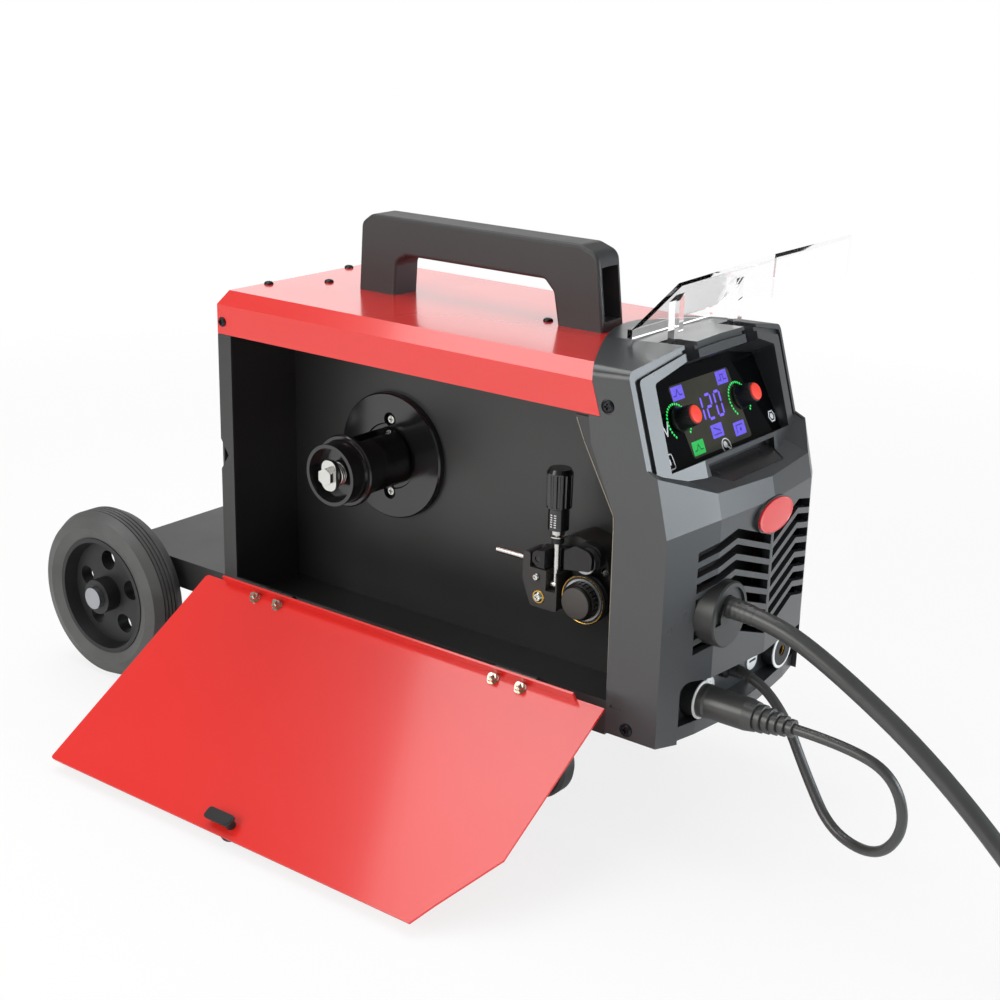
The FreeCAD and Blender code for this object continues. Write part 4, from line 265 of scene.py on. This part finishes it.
RED = surface("red gloss paint", srgb(222, 42, 36), rough=(0.2, 0.28), vary=0.03, patch=5.0, grain=260.0,
              bump=0.04, depth=0.0001, Coat_Weight=0.7, Coat_Roughness=0.1)
RED_ENAMEL = surface("red enamel", srgb(218, 34, 34), rough=(0.1, 0.18), vary=0.03, patch=20.0, grain=300.0,
                     bump=0.02, Coat_Weight=0.8, Coat_Roughness=0.05)
POWDER = surface("black powder coat", srgb(40, 41, 41), rough=(0.36, 0.46), vary=0.1, patch=8.0, grain=1300.0,
                 bump=0.3, depth=0.00008, Specular_IOR_Level=0.75)
GLOSS_BLACK = surface("gloss black plastic", srgb(22, 23, 24), rough=(0.12, 0.2), vary=0.1, patch=12.0,
                      grain=500.0, bump=0.03, Specular_IOR_Level=0.8)
GLASS_BLACK = surface("panel glass", srgb(7, 8, 10), rough=(0.06, 0.12), vary=0.1, patch=10.0, grain=300.0,
                      bump=0.01, Specular_IOR_Level=0.1)
LABEL_BLACK = surface("blank label film", srgb(44, 43, 44), rough=(0.22, 0.3), vary=0.06, patch=30.0,
                      grain=600.0, bump=0.03)
RUBBER = surface("cable rubber", srgb(58, 59, 58), rough=(0.3, 0.4), vary=0.12, patch=20.0, grain=700.0,
                 bump=0.15, Specular_IOR_Level=0.8)
TYRE = surface("tyre rubber", srgb(80, 81, 80), rough=(0.42, 0.56), vary=0.15, patch=25.0, grain=500.0,
               bump=0.3)
WHITE_INK = surface("white ink", srgb(226, 228, 230), rough=(0.4, 0.5), vary=0.04, patch=60.0, grain=900.0,
                    bump=0.05)
PCB = surface("circuit board", srgb(24, 84, 52), rough=(0.3, 0.45), vary=0.2, patch=120.0, grain=600.0,
              bump=0.2)
OLIVE = surface("display window", srgb(58, 56, 47), rough=(0.14, 0.2), vary=0.1, patch=40.0, grain=400.0,
                bump=0.01)
SHELL = moulded("grey moulded shell", srgb(50, 52, 54), rough=(0.25, 0.33), Specular_IOR_Level=0.9)
MATT_BLACK = moulded("matt black plastic", srgb(30, 31, 33), rough=(0.44, 0.56), cell=1800.0)
FEEDER_GREY = moulded("feeder moulding", srgb(52, 51, 49), rough=(0.4, 0.5), cell=1300.0)
CAP_GREY = moulded("roll cap plastic", srgb(70, 66, 64), rough=(0.45, 0.55), cell=1600.0)
BOSS_GREY = moulded("outlet boss plastic", srgb(34, 35, 34), rough=(0.38, 0.48), cell=1400.0,
                    Specular_IOR_Level=0.7)
HANDLE_BLACK = moulded("handle black plastic", srgb(56, 56, 57), rough=(0.4, 0.52), cell=1100.0,
                       strength=0.5)
KNOB_BLACK = moulded("knob black plastic", srgb(16, 16, 17), rough=(0.36, 0.46), cell=2000.0, strength=0.2)
RED_CAP = moulded("red cap plastic", srgb(246, 60, 40), rough=(0.42, 0.52), cell=2200.0, strength=0.2,
                  vary=0.04)
WHITE_PLASTIC = moulded("white plastic", srgb(232, 232, 230), rough=(0.35, 0.45), cell=2000.0,
                        strength=0.15, vary=0.02)
ZINC = metal("bright zinc", srgb(214, 214, 210), rough=(0.16, 0.3))
GILT_ZINC = metal("yellow zinc", srgb(208, 204, 188), rough=(0.18, 0.32))
STEEL = metal("turned steel", srgb(168, 170, 174), rough=(0.25, 0.4), brushed=(1.0, 6.0, 6.0))
# A light metal colour for the thin line drawn along the front jamb's inner edge
JAMB_LINE_METAL = metal("light jamb line metal", srgb(150, 144, 132), rough=(0.3, 0.45), scale=700.0)
DARK_STEEL = metal("blackened steel", srgb(58, 60, 63), rough=(0.3, 0.45))
ALUMINIUM = metal("cast aluminium", srgb(120, 122, 124), rough=(0.35, 0.55), scale=180.0, bump=0.4)
BRASS = metal("brass", srgb(205, 166, 84), rough=(0.2, 0.35))
COPPER = metal("copper", srgb(196, 120, 84), rough=(0.25, 0.4))
PURPLE = glow("violet segments", srgb(116, 92, 236), 1.0)
PURPLE_ICON = glow("violet icons", srgb(104, 88, 220), 0.9)
PURPLE_LINE = glow("violet icon lines", srgb(56, 44, 150), 0.6)
GREEN = glow("green lamps", srgb(40, 214, 96), 1.1)
GREEN_ICON = glow("green icon", srgb(28, 178, 78), 0.9)
GREEN_LINE = glow("green icon lines", srgb(16, 96, 44), 0.6)
CLEAR = clear_plastic()

# The finish of every CAD node, and the radius in mm of the edges that are rounded for the looks
FINISH = {
    "base_tray": POWDER, "rear_panel": POWDER, "divider_panel": POWDER, "front_frame": POWDER,
    "top_cover": RED, "front_bezel": SHELL, "control_panel": GLASS_BLACK, "knob_left": KNOB_BLACK,
    "knob_right": KNOB_BLACK, "badge": RED_ENAMEL, "clear_cover": CLEAR, "side_door": RED,
    "door_leaves": POWDER, "door_nuts": GILT_ZINC, "door_latch": MATT_BLACK, "hinge_leaves": POWDER,
    "spool_holder": GLOSS_BLACK, "spool_sleeve": GLOSS_BLACK, "cup_nut": GLOSS_BLACK, "clamp_plate": ZINC,
    "brake_spring": ZINC, "feed_motor": FEEDER_GREY, "feeder_body": FEEDER_GREY, "drive_roll": MATT_BLACK,
    "roll_cap": KNOB_BLACK, "pressure_arm": MATT_BLACK, "pressure_roll": STEEL, "tension_spindle": ZINC,
    "tension_knob": GLOSS_BLACK, "torch_socket": BOSS_GREY, "sockets": MATT_BLACK,
    "cable_glands": MATT_BLACK, "torch_coil": RUBBER, "torch_hose": RUBBER, "polarity_lead": RUBBER,
    "polarity_plug": RUBBER, "torch_handle": HANDLE_BLACK, "torch_trigger": RED_CAP, "torch_neck": RUBBER,
    "torch_nozzle": COPPER, "heat_sink": ALUMINIUM, "circuit_boards": PCB, "fan_frame": MATT_BLACK,
    "fan_rotor": MATT_BLACK, "gas_valve": BRASS, "switch_body": MATT_BLACK, "power_rocker": RED_CAP,
    "handle": HANDLE_BLACK, "rear_axle": STEEL, "tyre_near": TYRE, "tyre_far": TYRE,
    "rim_near": MATT_BLACK, "rim_far": MATT_BLACK, "castor_plates": ZINC, "castor_fork_near": ZINC,
    "castor_fork_far": ZINC, "castor_wheel_near": RUBBER, "castor_wheel_far": RUBBER,
    "case_screws": DARK_STEEL, "zinc_screws": ZINC,
}
SOFT_EDGES = {
    "front_bezel": 0.7, "torch_socket": 0.4, "polarity_plug": 0.4, "top_cover": 0.5, "side_door": 0.4,
    "handle": 0.6, "base_tray": 0.4, "rear_panel": 0.4, "control_panel": 0.3, "feeder_body": 0.4,
    "pressure_arm": 0.5, "feed_motor": 0.6, "front_frame": 0.4, "clear_cover": 0.5, "tension_knob": 0.3,
    "torch_handle": 0.4, "torch_trigger": 0.5, "spool_holder": 0.4, "cup_nut": 0.5, "spool_sleeve": 0.4,
    "roll_cap": 0.3, "divider_panel": 0.3,
}
CAD_EDGE_ANGLE = 38
PIECE_EDGE_ANGLE = 30


def round_edges(obj, radius, degrees):
    rounding = obj.modifiers.new("edges", "BEVEL")
    rounding.width = radius / 1000
    rounding.segments = 2
    rounding.limit_method = "ANGLE"
    rounding.angle_limit = math.radians(degrees)
    rounding.harden_normals = True


def finish_cad_nodes():
    for name, material in FINISH.items():
        for place in nodes[name].material_slots:
            place.material = material
        if name in SOFT_EDGES:
            round_edges(nodes[name], SOFT_EDGES[name], CAD_EDGE_ANGLE)


# Mesh helpers

def piece(name, verts, faces, material, body="cabinet", finish=None, soft=None, bevel=None):
    """A mesh in the scene that rides on a body, smooth below the angle soft, with rounded edges."""
    mesh = bpy.data.meshes.new(name)
    mesh.from_pydata([tuple(v) for v in verts], [], faces)
    mesh.validate()
    mesh.update()
    obj = bpy.data.objects.new(name, mesh)
    bpy.context.scene.collection.objects.link(obj)
    mesh.materials.append(material)
    if soft:
        mesh.shade_smooth()
        mesh.set_sharp_from_angle(angle=math.radians(soft))
    if bevel:
        round_edges(obj, bevel, PIECE_EDGE_ANGLE)
    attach(obj, body)
    return obj


def axes_of(direction):
    """The direction and two axes across it."""
    axis = Vector(direction).normalized()
    side = Vector((0, 0, 1)) if abs(axis.z) < 0.9 else Vector((1, 0, 0))
    side = (side - axis * side.dot(axis)).normalized()
    return axis, side, axis.cross(side)


def circle(base, axes, r, h, steps, flute=0.0):
    """Points around the axis at the height h, in mm from a base in metres; every third dips by flute."""
    axis, side, other = axes
    points = []
    for k in range(steps):
        a = 2 * math.pi * k / steps
        reach = r - flute if k % 3 == 0 else r
        points.append(base + (axis * h + (side * math.cos(a) + other * math.sin(a)) * reach) / 1000)
    return points


def tube_faces(rings, steps):
    """Quads between neighbouring rings of points."""
    faces = []
    for low in range(0, (rings - 1) * steps, steps):
        high = low + steps
        for k in range(steps):
            n = (k + 1) % steps
            faces.append((low + k, low + n, high + n, high + k))
    return faces


def end_faces(rings, steps):
    """The faces that close a tube at its first and its last ring."""
    return tuple(reversed(range(steps))), tuple(range((rings - 1) * steps, rings * steps))


def lathe(name, profile, base, direction, material, steps=48, **more):
    """Turned piece from (radius, height along the axis) points in mm, based at a point in metres."""
    axes = axes_of(direction)
    verts, faces, rings = [], [], []
    for r, h in profile:
        points = circle(base, axes, r, h, steps) if r else [base + axes[0] * h / 1000]
        rings.append(range(len(verts), len(verts) + len(points)))
        verts += points
    for low, high in zip(rings, rings[1:]):
        for k in range(steps):
            n = (k + 1) % steps
            if len(low) == 1:
                faces.append((low[0], high[n], high[k]))
            elif len(high) == 1:
                faces.append((low[k], low[n], high[0]))
            else:
                faces.append((low[k], low[n], high[n], high[k]))
    return piece(name, verts, faces, material, soft=35, **more)


def sticker(name, shapes, place, material, low=0.02, high=0.12, **more):
    """Thin flat pieces from closed outlines, put on a surface by place(a, b, height)."""
    verts, faces = [], []
    for shape in shapes:
        n = len(shape)
        start = len(verts)
        verts += [place(a, b, height) for height in (low, high) for a, b in shape]
        faces.append(tuple(start + n + k for k in range(n)))
        faces.append(tuple(start + k for k in reversed(range(n))))
        for k in range(n):
            m = (k + 1) % n
            faces.append((start + k, start + m, start + n + m, start + n + k))
    return piece(name, verts, faces, material, **more)


# Outlines for stickers

def disc(x, y, r, steps=20):
    turns = [2 * math.pi * k / steps for k in range(steps)]
    return [(x + r * math.cos(a), y + r * math.sin(a)) for a in turns]


def rect(x0, y0, x1, y1):
    return [(x0, y0), (x1, y0), (x1, y1), (x0, y1)]


def rounded(x0, y0, x1, y1, r, steps=5):
    points = []
    corners = ((x1 - r, y0 + r, -90), (x1 - r, y1 - r, 0), (x0 + r, y1 - r, 90), (x0 + r, y0 + r, 180))
    for cx, cy, start in corners:
        for k in range(steps + 1):
            a = math.radians(start + 90 * k / steps)
            points.append((cx + r * math.cos(a), cy + r * math.sin(a)))
    return points


def stroke(points, width, closed=False):
    """Straight bars along a line, as separate outlines with square ends."""
    bars = []
    ends = points[1:] + points[:1] if closed else points[1:]
    for (ax, ay), (bx, by) in zip(points, ends):
        length = math.hypot(bx - ax, by - ay)
        dx, dy = (bx - ax) / length * width / 2, (by - ay) / length * width / 2
        bars.append([(ax - dx - dy, ay - dy + dx), (ax - dx + dy, ay - dy - dx),
                     (bx + dx + dy, by + dy - dx), (bx + dx - dy, by + dy + dx)])
    return bars


def hoop(x, y, outer, inner, steps=28):
    """A ring as short quads."""
    out, inn = disc(x, y, outer, steps), disc(x, y, inner, steps)
    return [list(quad) for quad in zip(out, out[1:] + out[:1], inn[1:] + inn[:1], inn)]


# Camera

def add_camera():
    yaw, pitch, roll = (math.radians(a) for a in (CAMERA_YAW, CAMERA_PITCH, CAMERA_ROLL))
    level = math.cos(pitch)
    ahead = Vector((math.sin(yaw) * level, math.cos(yaw) * level, -math.sin(pitch)))
    right = Vector((math.cos(yaw), -math.sin(yaw), 0))
    down = ahead.cross(right)
    rolled_right = right * math.cos(roll) + down * math.sin(roll)
    rolled_down = down * math.cos(roll) - right * math.sin(roll)
    data = bpy.data.cameras.new("camera")
    data.lens = CAMERA_LENS
    data.sensor_width = 36.0
    data.clip_start = 0.01
    camera = bpy.data.objects.new("camera", data)
    turn = Matrix((rolled_right, -rolled_down, -ahead)).transposed().to_4x4()
    camera.matrix_world = Matrix.Translation(at(*CAMERA_AT)) @ turn
    bpy.context.scene.collection.objects.link(camera)
    bpy.context.scene.camera = camera


# Cords

def cord_curve(name, points, diameter, material):
    data = bpy.data.curves.new(name, "CURVE")
    data.dimensions = "3D"
    data.bevel_depth = diameter / 2000
    data.bevel_resolution = 6
    data.resolution_u = 8
    data.use_fill_caps = True
    spline = data.splines.new("NURBS")
    spline.points.add(len(points) - 1)
    for spot, point in zip(spline.points, points):
        spot.co = (*at(*point), 1.0)
    spline.order_u = 3
    spline.use_endpoint_u = True
    data.materials.append(material)
    obj = bpy.data.objects.new(name, data)
    bpy.context.scene.collection.objects.link(obj)
    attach(obj, "cabinet")
    return obj


def coil_point(turn):
    """The hose on the floor: it winds inward, steps up by one pitch and winds outward again on top."""
    angle = math.pi + 2 * math.pi * turn
    climb = min(max((turn - COIL_CLIMB_FROM) * 2, 0), 1)
    radius = COIL_R - COIL_PITCH * (COIL_INWARD - abs(turn - COIL_INWARD))
    rise = COIL_PITCH * climb * climb * (3 - 2 * climb)
    return Vector((COIL_X + radius * math.cos(angle), COIL_Y + radius * math.sin(angle),
                   GROUND_Z + HOSE_D / 2 + FLOOR_GAP + rise))


def hose_points():
    """From the outlet down to the floor, around the coil, and straight on into the torch."""
    nudge = 0.0001
    first, last = coil_point(0), coil_point(COIL_TURNS)
    heading = (coil_point(nudge) - first).normalized()
    leaving = (last - coil_point(COIL_TURNS - nudge)).normalized()
    start = first - heading * HOSE_D
    landing = start - heading * LANDING
    end = last + leaving * TAIL
    coil = [coil_point(k / COIL_PER_TURN) for k in range(int(COIL_TURNS * COIL_PER_TURN) + 1)]
    return HOSE_ROUTE + [landing, start] + coil + [(last + end) / 2, end]


def add_cords():
    hose = cord_curve("torch_hose_line", hose_points(), HOSE_D, RUBBER)
    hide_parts("torch_hose", "torch_coil")
    lead = cord_curve("polarity_lead_line", LEAD_ROUTE, LEAD_D, RUBBER)
    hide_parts("polarity_lead")


def tapered_relief(name, route, thick, thin, low, high):
    """A tapered sleeve with shallow grips, around the share low to high of a cord's first bend."""
    steps, rows, grip = 40, 24, 0.25
    a, b, c = (at(*p) for p in route[:3])
    c = (b + c) / 2
    verts = []
    for row in range(rows + 1):
        share = row / rows
        t = low + (high - low) * share
        centre = a * (1 - t) ** 2 + b * 2 * t * (1 - t) + c * t * t
        axes = axes_of((b - a) * (1 - t) + (c - b) * t)
        gripped = row % 4 == 3 and row < rows - 2
        verts += circle(centre, axes, thick + (thin - thick) * share - (grip if gripped else 0.0), 0, steps)
    first, last = end_faces(rows + 1, steps)
    piece(name, verts, tube_faces(rows + 1, steps) + [first, last], RUBBER, finish="rubber", soft=40)


def add_reliefs():
    tapered_relief("hose_relief", HOSE_ROUTE, 8.35, 7.2, 0.04, 0.42)
    tapered_relief("lead_relief", LEAD_ROUTE, 5.6, 4.25, 0.02, 0.45)


# Control panel

def segment_bar(a, b):
    """A bar of a digit from a to b, with pointed ends and a gap to its neighbours."""
    (ax, ay), (bx, by) = a, b
    length = math.hypot(bx - ax, by - ay)
    dx, dy = (bx - ax) / length, (by - ay) / length
    half = DIGIT_THICK / 2
    tip = SEGMENT_GAP + half

    def spot(x, y, along, across):
        return (x + dx * along - dy * across, y + dy * along + dx * across)
    return [spot(ax, ay, SEGMENT_GAP, 0), spot(ax, ay, tip, half), spot(bx, by, -tip, half),
            spot(bx, by, -SEGMENT_GAP, 0), spot(bx, by, -tip, -half), spot(ax, ay, tip, -half)]


def leaning(shapes, x, u):
    """Outlines that lean with the panel's print, around the point x, u."""
    return [[(a + (b - u) * LEAN, b) for a, b in shape] for shape in shapes]


def digit_shapes(digit, x, u):
    """The seven-segment bars of a digit around the point x, u."""
    left, right, top, bottom = x - DIGIT_W / 2, x + DIGIT_W / 2, u + DIGIT_H / 2, u - DIGIT_H / 2
    ends = {"a": ((left, top), (right, top)), "b": ((right, top), (right, u)),
            "c": ((right, u), (right, bottom)), "d": ((left, bottom), (right, bottom)),
            "e": ((left, u), (left, bottom)), "f": ((left, top), (left, u)), "g": ((left, u), (right, u))}
    return leaning([segment_bar(*ends[key]) for key in SEGMENTS[digit]], x, u)


def icon_lines(kind, x, u):
    """Plain line symbols: a wave, a step, a slope with a bar, and a corner with a dot."""
    def line(points, width=0.9):
        return stroke([(x + a, u + b) for a, b in points], width)
    if kind == "wave":
        return line([(-5.5, -1.8), (-2.5, -1.8), (0, 2.4), (2.5, -1.8), (5.5, -1.8)])
    if kind == "step":
        return line([(-5.5, -2), (-1.8, -2), (-1.8, 2), (1.8, 2), (1.8, -2), (5.5, -2)])
    if kind == "slope":
        return line([(-5, -2.6), (5, -2.6)]) + line([(-4, 2.6), (4, -0.4)], 1.0)
    return line([(-4.5, -2.6), (-4.5, 2.6), (4.5, 2.6)]) + [disc(x + 1, u - 1, 1.3, 12)]


def icon_shapes(icons):
    """The plates and the line symbols of some icons."""
    plates, lines = [], []
    for kind, x, u in icons:
        plate = rounded(x - ICON_W / 2, u - ICON_H / 2, x + ICON_W / 2, u + ICON_H / 2, 0.8)
        plates += leaning([plate], x, u)
        lines += leaning(icon_lines(kind, x, u), x, u)
    return plates, lines


def lamp_shapes():
    """A row of small lamps around each knob."""
    dots = []
    for centre in (-KNOB_X, KNOB_X):
        for k in range(LAMPS):
            a = math.radians(LAMPS_FROM + LAMPS_SWEEP * k / (LAMPS - 1))
            dots.append(disc(centre + LAMP_RING * math.cos(a), KNOB_U - LAMPS_DOWN + LAMP_RING * math.sin(a),
                             LAMP_R, 12))
    return dots


def panel_mark_shapes():
    """Plain symbols: a tick, a lens, a box with a dot, and a nut."""
    tick = stroke([(-66.2, 39.2), (-63.4, 29.2), (-58.4, 38.2)], 1.3)
    lens = hoop(4.6, 6.3, 6.2, 5.3) + [disc(3.6, 7.6, 2.6, 14)] + stroke([(4.4, 6.6), (8.0, 3.6)], 1.5)
    box = stroke(rounded(-80.0, 5.4, -67.4, 16.4, 2.0, 3), 0.9, True)
    box.append(rounded(-76.2, 8.6, -71.4, 13.2, 1.0, 3))
    nut = stroke(disc(79.6, 14.4, 4.6, 6), 1.1, True) + [disc(79.6, 14.4, 2.6, 6)]
    return tick + lens + box + nut


def add_display():
    digits = []
    for k, digit in enumerate("120"):
        digits += digit_shapes(digit, DIGIT_X + k * DIGIT_STEP, DIGIT_U)
    plates, lines = icon_shapes(ICONS)
    lit_plates, lit_lines = icon_shapes(LIT_ICON)
    for name, shapes, material, low, high in (
            ("display_window", [rounded(*WINDOW, 3)], OLIVE, 0.0, 0.06),
            ("display_digits", digits, PURPLE, 0.07, 0.14),
            ("display_icons", plates, PURPLE_ICON, 0.07, 0.12),
            ("display_icon_lines", lines, PURPLE_LINE, 0.13, 0.17),
            ("display_green_icon", lit_plates, GREEN_ICON, 0.07, 0.12),
            ("display_green_lines", lit_lines, GREEN_LINE, 0.13, 0.17),
            ("dial_lamps", lamp_shapes(), GREEN, 0.07, 0.16),
            ("panel_marks", panel_mark_shapes(), WHITE_INK, 0.02, 0.08)):
        sticker(name, shapes, glass, material, low, high)


def add_knobs():
    """Fluted bodies, red caps and white pointer lines."""
    out = glass(0, 0, 1) - glass(0, 0, 0)
    axes = axes_of(out)
    axis, side, other = axes
    steps = 72
    for name, x in (("left", -KNOB_X), ("right", KNOB_X)):
        base = glass(x, KNOB_U, KNOB_LIFT)
        verts = []
        for i, (r, h) in enumerate(KNOB_BODY):
            verts += circle(base, axes, r, h, steps, KNOB_FLUTE if i in KNOB_FLUTED else 0.0)
        body = piece("knob_body_" + name, verts, tube_faces(len(KNOB_BODY), steps), KNOB_BLACK,
                     body="knob_" + name, finish="matte_black_plastic", soft=40)
        lathe("knob_cap_" + name, KNOB_CAP, base, out, RED_CAP, body="knob_" + name, finish="red_plastic")
        sticker("knob_line_" + name, [rect(-0.5, 3.0, 0.5, 6.6)],
                lambda a, b, n: base + (axis * (KNOB_LINE_H + n) + other * a + side * b) / 1000, WHITE_INK,
                body="knob_" + name)
        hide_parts("knob_" + name)


# Front sockets

def add_sockets():
    """White rings and brass inserts, and the plus and minus discs beside them."""
    for tag, x in (("left", -SOCKET_X), ("right", SOCKET_X)):
        base = at(x, SOCKET_FACE_Y, SOCKET_Z)
        lathe("socket_ring_" + tag, SOCKET_RING, base, BACK, WHITE_PLASTIC)
        lathe("socket_insert_" + tag, SOCKET_INSERT, base, BACK, BRASS)
    minus = stroke([(-4, 0), (4, 0)], 1.8)
    plus = minus + stroke([(0, -4), (0, 4)], 1.8)
    for x, tag, bars in ((32.0, "minus", minus), (-34.0, "plus", plus)):
        base = at(x, POCKET_Y - 0.02, SIGN_Z)
        lathe("sign_disc_" + tag, SIGN_DISC, base, FRONT, WHITE_PLASTIC)
        sticker("sign_bars_" + tag, bars, lambda a, b, n: base + Vector((a, -SIGN_HEIGHT - n, b)) / 1000,
                MATT_BLACK)


# Wire feeder

def add_feeder_marks():
    """Two columns of short marks around the sleeve of the tension knob."""
    half_turn, half_z = 0.11, 0.45
    marks = []
    for row in range(SCALE_ROWS):
        z = SCALE_Z + row * SCALE_STEP
        marks += [rect(a - half_turn, z - half_z, a + half_turn, z + half_z) for a in (-0.2, 0.2)]

    def on_sleeve(a, z, n):
        turn, r = SCALE_TURN + a, SCALE_R + n
        return at(WIRE_X + r * math.cos(turn), POST_Y + r * math.sin(turn), z)
    sticker("tension_scale", marks, on_sleeve, WHITE_INK, 0.02, 0.1, body="tension_knob")


def add_feeder_trim():
    """Rings, washers, bushes and the inlet sleeve of the feeder."""
    for name, body, material, spot, direction, profile in (
            ("drive_roll_rim", "drive_roll", BRASS, (ROLL_FACE_X, DRIVE_Y, DRIVE_Z), OUT,
             [(18.6, -0.2), (18.6, 0.35), (18.9, 0.55), (19.2, 0.55), (19.4, 0.3), (19.4, -0.2)]),
            ("drive_roll_washer", "drive_roll", STEEL, (ROLL_FACE_X, DRIVE_Y, DRIVE_Z), OUT,
             [(15.3, -0.2), (15.3, 0.5), (16.9, 0.5), (17.2, 0.25), (17.2, -0.2)]),
            ("roll_cap_face", "drive_roll", CAP_GREY, (CAP_FACE_X, DRIVE_Y, DRIVE_Z), OUT,
             [(0, 0), (12.0, 0), (12.7, 0.15), (12.5, 0.5), (11.9, 0.75), (0, 0.85)]),
            ("feeder_screw_washer", "cabinet", BRASS, (BODY_FACE_X, 77.0, 47.0), OUT,
             [(4.2, 0.02), (4.2, 0.7), (5.2, 0.7), (5.6, 0.4), (5.6, 0.02)]),
            ("spindle_washer", "tension_spindle", ZINC, (WIRE_X, POST_Y, 97.6), UP,
             [(3.15, 0), (6.6, 0), (6.6, 1.0), (6.2, 1.3), (3.15, 1.3)]),
            ("inlet_sleeve", "cabinet", ZINC, (WIRE_X, 124.2, WIRE_Z), FRONT,
             [(1.4, 0), (2.4, 0), (2.75, 0.4), (2.75, 35.2), (2.5, 35.4), (2.5, 0.3)]),
            ("spindle_bush", "tension_spindle", MATT_BLACK, (WIRE_X, POST_Y, 92.4), UP,
             [(3.15, 0), (4.6, 0), (4.9, 0.3), (4.9, 4.2), (4.4, 4.6), (3.15, 4.6)])):
        lathe(name, profile, at(*spot), direction, material, body=body)


# Cabinet trim

def add_badge():
    """The blank oval badge, a low dome with a raised rim."""
    steps = 72
    verts = []
    for reach, height in BADGE_DOME:
        verts += [at(x, BADGE_BACK_Y - height, BADGE_Z + z)
                  for x, z in ((BADGE_A * a, BADGE_B * b) for a, b in disc(0, 0, reach, steps))]
    first, last = end_faces(len(BADGE_DOME), steps)
    faces = tube_faces(len(BADGE_DOME), steps) + [last, first]
    badge = piece("badge_dome", verts, faces, RED_ENAMEL, finish="red_plastic", soft=30)
    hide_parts("badge")


def add_cabinet_trim():
    """A thin light metal line along the front jamb's inner edge, the blank film on the chin and the blank
    oval badge.
    """
    def on_jamb(y, z, n):
        return at(JAMB_X - n, y, z)

    def on_chin(x, y, n):
        return at(x, y, CHIN_Z + (y - CHIN_Y) * CHIN_SLOPE + n)
    sticker("jamb_edge", stroke(JAMB_EDGE, 0.7), on_jamb, JAMB_LINE_METAL, 0.02, 0.22)
    sticker("label_film", [LABEL_FILM], on_chin, LABEL_BLACK, 0.02, 0.2, bevel=0.12)
    add_badge()


# Room

def for_rays(tree, shader, special, rays):
    """Show the special shader to the named kinds of ray, and the shader to all others."""
    path = tree.nodes.new("ShaderNodeLightPath")
    for ray in rays:
        shader = add_node(tree, "ShaderNodeMixShader",
                          {"Fac": path.outputs[ray], 1: shader, 2: special}).outputs["Shader"]
    return shader


def add_floor():
    """A pale floor that fades to white away from the machine."""
    mesh = bpy.data.meshes.new("floor")
    corners = rect(-FLOOR_HALF, -FLOOR_HALF, FLOOR_HALF, FLOOR_HALF)
    mesh.from_pydata([(x, y, 0) for x, y in corners], [], [(0, 1, 2, 3)])
    floor = bpy.data.objects.new("floor", mesh)
    bpy.context.scene.collection.objects.link(floor)
    g = Graph("pale floor")
    plain = g.shader.outputs["BSDF"]
    g.set(Base_Color=g.tones(g.noise(1.5), (0.86, 0.86, 0.86, 1), (0.9, 0.9, 0.9, 1)), Roughness=0.6)
    near = g.add("ShaderNodeTexGradient", {"Vector": g.stretch((0.6, 0.6, 0.6))}, gradient_type="SPHERICAL")
    fade = g.ramp(near.outputs["Fac"], (0.0, WHITE), (0.45, (0.8, 0.8, 0.8, 1)))
    white = g.add("ShaderNodeEmission", {"Color": WHITE, "Strength": 1.0}).outputs["Emission"]
    blend = g.add("ShaderNodeMixShader", {"Fac": fade, 1: plain, 2: white}).outputs["Shader"]
    shader = for_rays(g.tree, plain, blend, SEEN_DIRECTLY)
    connect(g.tree, shader, g.tree.nodes["Material Output"].inputs["Surface"])
    mesh.materials.append(g.material)


def add_world():
    """Soft light from all around, dimmer in reflections and white where the camera sees it."""
    world = bpy.data.worlds.new("studio")
    bpy.context.scene.world = world
    world.use_nodes = True
    tree = world.node_tree
    soft = tree.nodes["Background"]
    soft.inputs["Color"].default_value = WHITE
    soft.inputs["Strength"].default_value = 0.5
    dim, white = (add_node(tree, "ShaderNodeBackground", {"Color": WHITE, "Strength": strength})
                  for strength in (0.22, 1.0))
    shader = for_rays(tree, soft.outputs["Background"], dim.outputs["Background"], ("Is Glossy Ray",))
    shader = for_rays(tree, shader, white.outputs["Background"], SEEN_DIRECTLY)
    connect(tree, shader, tree.nodes["World Output"].inputs["Surface"])


def add_lights():
    for name, spot, target, size, power, tint in LIGHTS:
        data = bpy.data.lights.new(name, "AREA")
        data.shape = "RECTANGLE"
        data.size, data.size_y = size
        data.energy = power
        data.color = tint
        light = bpy.data.objects.new(name, data)
        light.location = spot
        light.rotation_euler = (Vector(target) - Vector(spot)).to_track_quat("-Z", "Y").to_euler()
        bpy.context.scene.collection.objects.link(light)


finish_cad_nodes()
add_camera()
add_cords()
add_reliefs()
add_display()
add_knobs()
add_sockets()
add_feeder_marks()
add_feeder_trim()
add_cabinet_trim()
add_floor()
add_world()
add_lights()
bpy.context.scene.view_settings.view_transform = "Standard"
